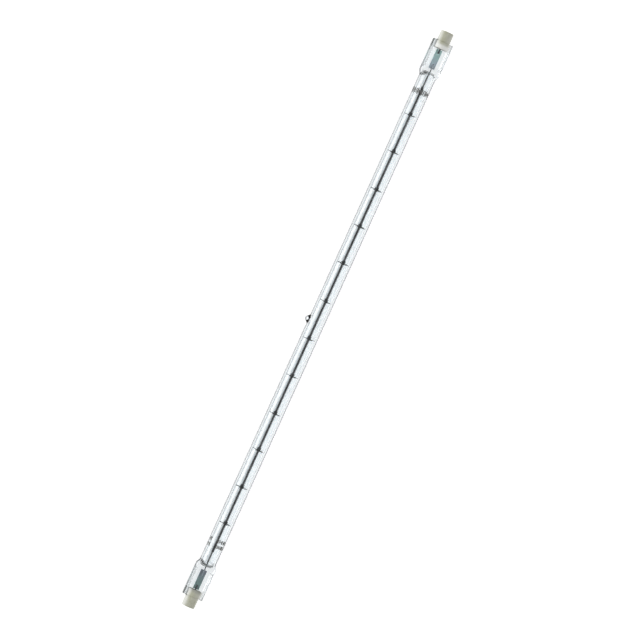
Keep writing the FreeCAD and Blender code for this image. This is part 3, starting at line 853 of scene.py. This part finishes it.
def lathe(outline, sides, closed=False):
    """The vertices and faces of an outline of (place, radius), turned about the lamp's axis."""
    angles = [2 * math.pi * k / sides for k in range(sides)]
    stations = outline + outline[:1] if closed else outline
    return join_rings([[(x, r * math.cos(t), r * math.sin(t)) for t in angles] for x, r in stations])


def rounded(centre, radius, start_angle):
    """Points on a quarter of a circle round a centre, from start_angle on in degrees."""
    x, r = centre
    turns = [math.radians(start_angle + 90 * k / CORNER_STEPS) for k in range(CORNER_STEPS + 1)]
    return [(x + radius * math.cos(t), r + radius * math.sin(t)) for t in turns]


def at_end(points, way):
    """The points at their end of the lamp: the far end is the near one turned half round."""
    return [(way * x, way * y, z) for x, y, z in points]


def merge_points(piece, distance=MERGE_DISTANCE):
    """Joins the points that lie on each other, so that the surface is closed."""
    shape = bmesh.new()
    shape.from_mesh(piece.data)
    bmesh.ops.remove_doubles(shape, verts=shape.verts, dist=distance * MM)
    bmesh.ops.dissolve_degenerate(shape, edges=shape.edges, dist=distance * MM)
    shape.to_mesh(piece.data)
    shape.free()


# %% [markdown]
# The leads
# At each end a tungsten pin carries the filament into the press, and a thicker molybdenum wire goes
# on from the foil to the contact. Their ends are cut and a little rounded, and the weld presses them
# flat on the foil. A curve with a bevel would leave them round all the way. So each is a turned rod
# whose underside is pushed up to the level of the foil.

# %% Turn the leads
LEAD_SIDES = 24
LEAD_CREASE = 40
LEAD_ROUND = 0.12
LEAD_SHOULDER = 0.4
LEAD_STEP = 0.5
PRESSED_LEAD = 0.29
# How far before and after the end of the gas space the pin turns thinner.
NARROW_BEFORE = 0.4
NARROW_AFTER = 0.6
OUTER_LEAD_RADIUS = 0.44
OUTER_LEAD_PLAY = 0.02

foil_low, foil_high = corners("molybdenum_foil_a")
inner_low, inner_high = corners("inner_lead_a")
outer_low, outer_high = corners("outer_lead_a")
inner_radius = inner_high.y


def lead_outline(start, end, radius_at):
    """The outline of a rod from start to end, rounded at both ends."""
    first, last = radius_at(start), radius_at(end)
    outline = [(start, 0.0), (start, first - LEAD_ROUND), (start + LEAD_ROUND, first)]
    outline += [(x, radius_at(x)) for x in run(start + LEAD_SHOULDER, end - LEAD_SHOULDER, LEAD_STEP)]
    outline += [(end - LEAD_ROUND, last), (end, last - LEAD_ROUND), (end, 0.0)]
    return outline


def inner_lead_radius(place):
    """The pin is thinner where the press holds it."""
    narrow = smooth_step(GAS_END - NARROW_BEFORE, GAS_END + NARROW_AFTER, place)
    return inner_radius + (PRESSED_LEAD - inner_radius) * narrow


def pressed_flat(points, level, first, last):
    """Lifts the points below a level, between two places."""
    return [(x, y, max(z, level) if first <= x <= last else z) for x, y, z in points]


pin_vertices, pin_faces = lathe(lead_outline(inner_low.x, inner_high.x, inner_lead_radius), LEAD_SIDES)
pin_vertices = [(x, y, z - (inner_radius - inner_lead_radius(x))) for x, y, z in pin_vertices]
pin_vertices = pressed_flat(pin_vertices, foil_high.z, foil_low.x, inner_high.x)
wire_outline = lead_outline(outer_low.x, outer_high.x - OUTER_LEAD_PLAY, lambda x: OUTER_LEAD_RADIUS)
wire_vertices, wire_faces = lathe(wire_outline, LEAD_SIDES)
wire_vertices = pressed_flat(wire_vertices, foil_high.z, outer_low.x, foil_high.x)
print(f"the pin is pressed from {2 * inner_radius:.2f} mm to {2 * PRESSED_LEAD:.2f} mm")

# %% Weld the leads in place
WELD_COLOUR = (0.34, 0.38, 0.42, 1)
MOLYBDENUM = {
    "dark": (0.09, 0.10, 0.11, 1),
    "pale": (0.17, 0.19, 0.2, 1),
    "roughness": 0.5,
    "drift_scale": 220,
}

molybdenum = drawn_metal("molybdenum", **MOLYBDENUM)
welded_pin = drawn_metal("welded_pin", **TUNGSTEN, welded=(foil_low.x, WELD_COLOUR))
for end, way in ENDS.items():
    vertices = at_end(pin_vertices, way)
    solids = [f"inner_lead_{end}"]
    pin = make_piece(f"inner_pin_{end}", vertices, pin_faces, welded_pin, solids, LEAD_CREASE)
    merge_points(pin)
    vertices = at_end(wire_vertices, way)
    solids = [f"outer_lead_{end}"]
    wire = make_piece(f"outer_wire_{end}", vertices, wire_faces, molybdenum, solids, LEAD_CREASE)
    merge_points(wire)

# %% [markdown]
# The foil
# Quartz hardly swells with heat and metal does, so the current passes the seal through a foil only
# a few hundredths of a millimetre thick. Its long edges are etched thin. It wrinkles slightly when
# the hot glass is pressed on it, and its colour runs from grey green at the cool end to a bluish
# grey towards the filament. A single flat face would do for its outline, but not for wrinkles. So a
# fine grid with small waves gives them, and a ramp along the lamp's length gives the colours.

# %% Roll the foils
FOIL_STEPS = 56
FOIL_ACROSS = 18
FOIL_WAVE = 0.02
# How close the wrinkles lie along and across the foil, and which layer of the noise draws them.
FOIL_WAVE_ALONG = 0.9
FOIL_WAVE_ACROSS = 1.3
FOIL_WAVE_LAYER = 4.0
# The share of its width over which the foil thins, what is left at its edge, and the still margin.
FOIL_EDGE = 0.12
FOIL_EDGE_LEFT = 0.25
FOIL_STILL_MARGIN = 0.5


def foil_side(x, y):
    """The height of the middle of the foil at a point, and half of its thickness there."""
    middle = (foil_high.z + foil_low.z) / 2
    half = (foil_high.z - foil_low.z) / 2
    margin = foil_high.y - abs(y)
    wave = FOIL_WAVE * noise.noise(Vector((x * FOIL_WAVE_ALONG, y * FOIL_WAVE_ACROSS, FOIL_WAVE_LAYER)))
    thick = smooth_step(0, FOIL_EDGE * foil_high.y, margin)
    loose = smooth_step(0, FOIL_STILL_MARGIN, margin)
    return middle + wave * loose, half * (FOIL_EDGE_LEFT + (1 - FOIL_EDGE_LEFT) * thick)


def foil_shape():
    """The vertices and faces of a foil: an upper and a lower sheet, joined round the edge."""
    xs = [foil_low.x + (foil_high.x - foil_low.x) * k / FOIL_STEPS for k in range(FOIL_STEPS + 1)]
    ys = [-foil_high.y * math.cos(math.pi * k / FOIL_ACROSS) for k in range(FOIL_ACROSS + 1)]
    rings = []
    for x in xs:
        upper = [(x, y, sum(foil_side(x, y))) for y in ys]
        lower = [(x, y, foil_side(x, y)[0] - foil_side(x, y)[1]) for y in reversed(ys)]
        rings.append(lower + upper)
    vertices, faces = join_rings(rings)
    count = len(rings[0])
    last = len(vertices) - count
    for k in range(FOIL_ACROSS):
        faces.append((k, count - 1 - k, count - 2 - k, k + 1)[::-1])
        faces.append((last + k, last + count - 1 - k, last + count - 2 - k, last + k + 1))
    return vertices, faces


# %% Colour the foils
FOIL_CREASE = 40
# End a's foil is made about twice as bright as end b's: painted light, for the light it catches.
FOIL_PAINTED_LIGHT = {"a": 2.1, "b": 1.1}
FOIL_INNER = {"a": (0.28, 0.31, 0.33), "b": (0.27, 0.285, 0.35)}
FOIL_BANDS = [(0.3, (0.3, 0.36, 0.4)), (0.62, (0.3, 0.43, 0.42)), (1.0, (0.27, 0.39, 0.37))]
FOIL_CLOUD_SCALE = 520
# How strongly the clouds shift the bands of colour, and what brings them back to their places.
FOIL_SHIFT = 0.55
FOIL_SHIFT_BACK = -0.27
FOIL_GLOSS = (0.38, 0.6)
FOIL_RELIEF = 0.00003


def foil_metal(end):
    """Rolled foil, grey green at the outer end and bluish at the inner end, brighter at end a by painted
    light.
    """
    material, tree, shader = new_material(f"sealed_foil_{end}")
    shader.inputs["Metallic"].default_value = 0.35
    where = whereabouts(tree)
    reach = (ENDS[end] * foil_low.x * MM, ENDS[end] * foil_high.x * MM)
    along = spread(tree, coordinate(tree, where, "X"), reach)
    clouds = speckle(tree, where, FOIL_CLOUD_SCALE, detail=3.0)
    shift = add_node(tree, "Math", {"operation": "MULTIPLY_ADD"}, {1: FOIL_SHIFT, 2: FOIL_SHIFT_BACK})
    tree.links.new(clouds, shift.inputs[0])
    hues = add_node(tree, "ValToRGB")
    tree.links.new(sums(tree, "ADD", along, shift.outputs[0]), hues.inputs["Fac"])
    bands = [(0.0, FOIL_INNER[end]), *FOIL_BANDS]
    for position, colour in bands[1:-1]:
        hues.color_ramp.elements.new(position)
    for element, (position, colour) in zip(hues.color_ramp.elements, bands):
        element.position = position
        element.color = (*[part * FOIL_PAINTED_LIGHT[end] for part in colour], 1)
    tree.links.new(hues.outputs["Color"], shader.inputs["Base Color"])
    tree.links.new(spread(tree, clouds, wanted=FOIL_GLOSS), shader.inputs["Roughness"])
    emboss(tree, shader, clouds, strength=0.4, depth=FOIL_RELIEF)
    return material


foil_vertices, foil_faces = foil_shape()
for end, way in ENDS.items():
    vertices = at_end(foil_vertices, way)
    solids = [f"molybdenum_foil_{end}"]
    foil = make_piece(f"sealing_foil_{end}", vertices, foil_faces, foil_metal(end), solids, FOIL_CREASE)

# %% [markdown]
# The ceramic caps
# Steatite powder is pressed in a mould and fired, so the cap is matt and slightly speckled, and every
# edge is softly rounded. Its round form, a nose and a wider collar with a stepped hole, is turned
# from one closed outline. The slot that straddles the press is then cut with a Boolean modifier, and
# a Bevel modifier breaks the new edges. Modifiers that measure are happier with large numbers, so
# this is done in millimetres and the result is made smaller afterwards.

# %% Outline of the caps
CAP_ROUND = 0.3
HOLE_ROUND = 0.1
COLLAR_STEP = 0.55
NOSE_LENGTH = 5.7
# The soft step from nose to collar: places from the nose's start, with radii from the nose's own
# and then from the collar's.
STEP_AT_NOSE = [(0.15, 0.04), (-0.02, 0.2), (-0.14, 0.4)]
STEP_AT_COLLAR = [(-0.32, -0.03), (-0.5, 0.0), (-1.4, 0.0)]
SHANK_HOLE = 1.0
HEAD_FLOOR = 162.9
CONTACT_FACE = 163.7
RECESS_RADIUS = 2.0
STEP_RADIUS = 1.7

cap_low, cap_high = corners("ceramic_cap_a")
cap_inner, cap_end = cap_low.x, cap_high.x
collar_radius = cap_high.z
nose_radius = collar_radius - COLLAR_STEP
nose_start = cap_end - NOSE_LENGTH


def cap_outline():
    """The closed outline of the cap, from the mouth of the recess round the outside and back."""
    outline = rounded((cap_end - HOLE_ROUND, RECESS_RADIUS + HOLE_ROUND), HOLE_ROUND, -90)
    outline += rounded((cap_end - CAP_ROUND, nose_radius - CAP_ROUND), CAP_ROUND, 0)
    outline += [(nose_start + x, nose_radius + r) for x, r in STEP_AT_NOSE]
    outline += [(nose_start + x, collar_radius + r) for x, r in STEP_AT_COLLAR]
    outline += rounded((cap_inner + CAP_ROUND, collar_radius - CAP_ROUND), CAP_ROUND, 90)
    outline += [(cap_inner, SHANK_HOLE), (HEAD_FLOOR, SHANK_HOLE), (HEAD_FLOOR, STEP_RADIUS)]
    outline += [(CONTACT_FACE, STEP_RADIUS), (CONTACT_FACE, RECESS_RADIUS)]
    return outline


print(f"the cap's nose is {2 * nose_radius:.1f} mm across and its collar {2 * collar_radius:.1f} mm")

# %% Helpers for shapes that modifiers change
def plain_object(name, vertices, faces):
    """An object in millimetres, used only while a shape is made."""
    mesh = bpy.data.meshes.new(name)
    mesh.from_pydata(vertices, [], faces)
    thing = bpy.data.objects.new(name, mesh)
    bpy.context.scene.collection.objects.link(thing)
    shape = bmesh.new()
    shape.from_mesh(mesh)
    bmesh.ops.remove_doubles(shape, verts=shape.verts, dist=FINE_MERGE)
    bmesh.ops.recalc_face_normals(shape, faces=shape.faces)
    print(f"{name}: {shape.calc_volume(signed=True):.1f} cubic millimetres")
    shape.to_mesh(mesh)
    shape.free()
    return thing


def block(name, low, high):
    """A plain block from its two corners, in millimetres."""
    ring = [(low[0], low[1]), (high[0], low[1]), (high[0], high[1]), (low[0], high[1])]
    vertices = [(x, y, z) for z in (low[2], high[2]) for x, y in ring]
    sides = [(k, (k + 1) % 4, (k + 1) % 4 + 4, k + 4) for k in range(4)]
    return plain_object(name, vertices, [(3, 2, 1, 0), (4, 5, 6, 7), *sides])


def finished_shape(thing):
    """The vertices and faces of an object with its modifiers, which is then thrown away."""
    view = bpy.context.evaluated_depsgraph_get()
    mesh = bpy.data.meshes.new_from_object(thing.evaluated_get(view))
    vertices = [tuple(vertex.co) for vertex in mesh.vertices]
    faces = [tuple(face.vertices) for face in mesh.polygons]
    bpy.data.objects.remove(thing)
    bpy.data.meshes.remove(mesh)
    return vertices, faces


# %% Press a cap and cut its slot
CAP_SIDES = 96
SLOT_TOP = 1.25
SLOT_FLOOR = 160.1
SLOT_OVERCUT = 1
BREAK_EDGE = 0.1
BREAK_ANGLE = 50
BREAK_STEPS = 2


def cap_shape():
    """The cap at end a, with its slot cut and the edges of the slot broken."""
    whole = plain_object("whole_cap", *lathe(cap_outline(), CAP_SIDES, closed=True))
    beyond = 2 * collar_radius
    slot_low = (cap_inner - SLOT_OVERCUT, -beyond, -SLOT_TOP)
    cutter = block("slot_cutter", slot_low, (SLOT_FLOOR, beyond, SLOT_TOP))
    cut = whole.modifiers.new("slot", "BOOLEAN")
    cut.operation = "DIFFERENCE"
    cut.solver = "EXACT"
    cut.object = cutter
    soften = whole.modifiers.new("broken_edges", "BEVEL")
    soften.width = BREAK_EDGE
    soften.segments = BREAK_STEPS
    soften.limit_method = "ANGLE"
    soften.angle_limit = math.radians(BREAK_ANGLE)
    bpy.context.view_layer.update()
    shape = finished_shape(whole)
    bpy.data.objects.remove(cutter)
    return shape


cap_vertices, cap_faces = cap_shape()
print(f"the cap has {len(cap_faces)} faces")

# %% [markdown]
# The finish of the caps
# Fired steatite is olive grey in soft clouds, with fine dark specks and pits. Each cap is painted
# whitish at its sides, as painted light where the low side lights fall, and where it meets the glass it
# is whitish at end a and greyish at end b. Paint over the whole cap would hide the clouds. So each
# tone is laid over the last one by a share that fades with the place, and the specks come on top.

# %% Fire the caps
CAP_CREASE = 32
CLAY_OLIVE = (0.42, 0.425, 0.32, 1)
CLAY_GREY = (0.5, 0.505, 0.44, 1)
CLAY_CLOUD_SCALE = 260
CLAY_CLOUD_EDGE = (0.35, 0.65)
SPECK_COLOUR = (0.2, 0.19, 0.13, 1)
SPECK_SCALE = 3200
SPECK_EDGE = (0.58, 0.72)
SPECK_SHARE = 0.45
PIT_SCALE = 5200
PIT_DEPTH = 0.00004
CLAY_GLOSS = (0.62, 0.85)
PALE_COLOUR = (0.84, 0.85, 0.83, 1)
# Across this stretch the cap's sides are made pale: painted light where the side lights fall.
SIDE_LIGHT_START = 2.2
SIDE_LIGHT_FULL = 3.8
SIDE_LIGHT_SHARE = 0.8
# The tone at the inner end of each cap, how much of it there is, and how far it reaches.
INNER_END_COLOUR = {"a": PALE_COLOUR, "b": (0.24, 0.25, 0.24, 1)}
INNER_END_SHARE = {"a": 0.8, "b": 0.55}
INNER_END_LENGTH = {"a": 2.2, "b": 1.3}
INNER_END_FADE = 0.8


def fired_ceramic(end):
    """Matt steatite with clouds, specks and fine pits, another tone at its inner end, and sides made pale
    by painted light.
    """
    material, tree, shader = new_material(f"fired_ceramic_{end}")
    shader.inputs["Specular IOR Level"].default_value = 0.3
    where = whereabouts(tree)
    along = sums(tree, "ABSOLUTE", coordinate(tree, where, "X"))
    across = sums(tree, "ABSOLUTE", coordinate(tree, where, "Y"))
    clouds = speckle(tree, where, CLAY_CLOUD_SCALE, detail=3.0, Roughness=0.55)
    body = blend(tree, spread(tree, clouds, CLAY_CLOUD_EDGE), CLAY_OLIVE, CLAY_GREY)
    tone_end = cap_inner + INNER_END_LENGTH[end]
    tone_span = (tone_end - INNER_END_FADE, tone_end + INNER_END_FADE)
    end_share = ramp(tree, along, *tone_span, (INNER_END_SHARE[end], 0.0))
    end_toned = blend(tree, end_share, body, INNER_END_COLOUR[end])
    # The pale sides laid on here are painted light.
    side_span = (SIDE_LIGHT_START * MM, SIDE_LIGHT_FULL * MM)
    side_light = spread(tree, across, side_span, (0.0, SIDE_LIGHT_SHARE))
    pale = blend(tree, side_light, end_toned, PALE_COLOUR)
    spots = speckle(tree, where, SPECK_SCALE, detail=2.0)
    specks = spread(tree, spots, SPECK_EDGE, (0.0, SPECK_SHARE))
    tree.links.new(blend(tree, specks, pale, SPECK_COLOUR), shader.inputs["Base Color"])
    pits = speckle(tree, where, PIT_SCALE, detail=3.0)
    tree.links.new(spread(tree, pits, wanted=CLAY_GLOSS), shader.inputs["Roughness"])
    emboss(tree, shader, pits, strength=0.5, depth=PIT_DEPTH)
    return material


for end, way in ENDS.items():
    vertices = at_end(cap_vertices, way)
    solids = [f"ceramic_cap_{end}"]
    cap = make_piece(f"end_cap_{end}", vertices, cap_faces, fired_ceramic(end), solids, CAP_CREASE)

# %% [markdown]
# The contacts
# The holder's sprung plunger presses on a small nickel button in the recess of each cap. It was
# turned on a lathe, which leaves fine rings on its face, and its hollow shank is crimped on the lead.
# A bump could fake the rings, but the outline carries them as real waves, because they catch the
# light one by one.

# %% Turn the contacts
CONTACT_SIDES = 72
CONTACT_CREASE = 30
HEAD_EDGE = 0.2
DIMPLE_RADIUS = 0.35
DIMPLE_DEPTH = 0.12
DIMPLE_RIM = 0.1
TURNED_RING = 0.11
TURNED_RING_PARTS = 4
TURNED_RING_DEPTH = 0.012
SHANK_RADIUS = 0.9
SHANK_BORE = 0.45
LEAD_TIP = 162.3
NICKEL = {
    "dark": (0.42, 0.40, 0.36, 1),
    "pale": (0.56, 0.54, 0.5, 1),
    "roughness": 0.3,
    "drift_scale": 300,
}

contact_low, contact_high = corners("contact_a")
head_radius = contact_high.z


def contact_face_at(radius):
    """The place of the head's face at a radius: a dimple in the middle, then fine turned rings."""
    dimple = DIMPLE_DEPTH * (1 - smooth_step(0, DIMPLE_RADIUS, radius))
    ring = TURNED_RING_DEPTH * (0.5 - 0.5 * math.cos(2 * math.pi * radius / TURNED_RING))
    return CONTACT_FACE - dimple - ring * smooth_step(DIMPLE_RADIUS, DIMPLE_RADIUS + DIMPLE_RIM, radius)


face_radii = run(0.0, head_radius - HEAD_EDGE, TURNED_RING / TURNED_RING_PARTS)
contact_outline = [(LEAD_TIP, 0.0), (LEAD_TIP, SHANK_BORE), (contact_low.x, SHANK_BORE)]
contact_outline += [(contact_low.x, SHANK_RADIUS), (HEAD_FLOOR, SHANK_RADIUS), (HEAD_FLOOR, head_radius)]
contact_outline += rounded((CONTACT_FACE - HEAD_EDGE, head_radius - HEAD_EDGE), HEAD_EDGE, 0)[::-1]
contact_outline += [(contact_face_at(radius), radius) for radius in reversed(face_radii)]
contact_vertices, contact_faces = lathe(contact_outline, CONTACT_SIDES)
nickel = drawn_metal("turned_nickel", **NICKEL)
for end, way in ENDS.items():
    vertices = at_end(contact_vertices, way)
    solids = [f"contact_{end}"]
    contact = make_piece(f"contact_button_{end}", vertices, contact_faces, nickel, solids, CONTACT_CREASE)
    merge_points(contact, FINE_MERGE)

# %% [markdown]
# The cement
# A white paste of refractory cement is squeezed into the slot before the cap is pushed on, and it
# sets rough. The solid already has its form, so it stays, and gets a grainy finish of its own.

# %% Finish the cement
# The hollows of the grain are darker by painted shade, and a little yellower.
CEMENT_SHADED_HOLLOW = (0.34, 0.33, 0.27, 1)
CEMENT_GRAIN = (0.55, 0.54, 0.47, 1)
CEMENT_SCALE = 2400
CEMENT_RELIEF = 0.00012


def set_cement():
    """Rough, grainy cement, darker in its hollows by painted shade and a little yellower there."""
    material, tree, shader = new_material("set_cement")
    shader.inputs["Specular IOR Level"].default_value = 0.2
    shader.inputs["Roughness"].default_value = 0.95
    grains = speckle(tree, whereabouts(tree), CEMENT_SCALE, detail=5.0, Roughness=0.7)
    tree.links.new(blend(tree, grains, CEMENT_SHADED_HOLLOW, CEMENT_GRAIN), shader.inputs["Base Color"])
    emboss(tree, shader, grains, strength=0.8, depth=CEMENT_RELIEF)
    return material


cement = set_cement()
for end in ENDS:
    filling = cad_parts[f"cap_cement_{end}"]
    for material_place in filling.material_slots:
        material_place.material = cement
    print(filling.name, "has", len(filling.material_slots), "material slot")

# %% [markdown]
# The printed marks
# Near each end stands a stamp in grey ink: plain bars and squares, in one row at end a and in two at
# end b. A texture on the tube would have to change clear glass to dull ink and back. Ink that is a
# thin patch of its own leaves the glass clear beside it. Each patch is a small closed tile bent to
# the tube, whose top lies a hair above the glass.

# %% A patch of ink
INK_TOP = 0.006
INK_DEPTH = 0.02
TILE_STEP = math.radians(3)


def ink_tile(x_low, x_high, angle_low, angle_high):
    """A closed patch of ink on the tube between two places and two angles, in degrees from the top."""
    low, high = math.radians(angle_low), math.radians(angle_high)
    angles = run(low, high, TILE_STEP) + [high]
    outer, inner = tube_radius + INK_TOP, tube_radius - INK_DEPTH
    rings = []
    for t in angles:
        across, up = math.sin(t), math.cos(t)
        rings.append([
            (x_low, inner * across, inner * up),
            (x_high, inner * across, inner * up),
            (x_high, outer * across, outer * up),
            (x_low, outer * across, outer * up),
        ])
    vertices, faces = join_rings(rings, outward=False)
    faces.append((0, 1, 2, 3))
    faces.append(tuple(len(vertices) - 4 + k for k in (3, 2, 1, 0)))
    return vertices, faces


# %% Rows of patches
INK_CREASE = 30
# What share of its space a bar fills, between two shares round the tube and one of four along it.
BAR_WIDTHS = (0.55, 0.85)
BAR_HEIGHTS = (0.45, 0.8, 1.0, 1.0)
MARK_SEED = 7
marks = random.Random(MARK_SEED)


def printed_row(middle, height, angle_low, angle_high, count):
    """A row of bars round the tube, of uneven width and height."""
    tiles = []
    pitch = (angle_high - angle_low) / count
    bars = [(marks.uniform(*BAR_WIDTHS), marks.choice(BAR_HEIGHTS)) for k in range(count)]
    for k, (share, tall) in enumerate(bars):
        low = angle_low + k * pitch
        half = height * tall / 2
        tiles.append(ink_tile(middle - half, middle + half, low, low + pitch * share))
    return tiles


def stamp(name, tiles):
    """One piece from many patches."""
    vertices, faces = [], []
    for tile_vertices, tile_faces in tiles:
        faces += [[len(vertices) + index for index in face] for face in tile_faces]
        vertices += tile_vertices
    return make_piece(name, vertices, faces, ink, (), INK_CREASE)


# %% Print the marks
INK_DARK = (0.075, 0.075, 0.07, 1)
INK_THIN = (0.2, 0.2, 0.19, 1)
INK_SCALE = 1500
# Each row of bars is given by the angles from the top at which it starts and ends, in degrees, and by
# how many bars it has.
MARK_A_PLACE = 130.8
MARK_A_HEIGHT = 3.3
MARK_A_BARS = (-70, 95, 16)
MARK_B_PLACE = 128.9
MARK_B_HEIGHT = 2.0
MARK_B_SPACE = 1.0
MARK_B_BARS = [(-78, 14, 10), (56, 88, 4)]


def stamped_ink():
    """Grey ink, thin and patchy."""
    material, tree, shader = new_material("stamped_ink")
    shader.inputs["Roughness"].default_value = 0.8
    shader.inputs["Specular IOR Level"].default_value = 0.1
    patches = speckle(tree, whereabouts(tree), INK_SCALE, detail=3.0)
    tree.links.new(blend(tree, patches, INK_DARK, INK_THIN), shader.inputs["Base Color"])
    return material


ink = stamped_ink()
stamp("printed_bars_a", printed_row(MARK_A_PLACE, MARK_A_HEIGHT, *MARK_A_BARS))
mark_tiles = []
for side in (-1, 1):
    row_middle = -MARK_B_PLACE + side * (MARK_B_HEIGHT + MARK_B_SPACE) / 2
    for bars in MARK_B_BARS:
        mark_tiles += printed_row(row_middle, MARK_B_HEIGHT, *bars)
stamp("printed_bars_b", mark_tiles)
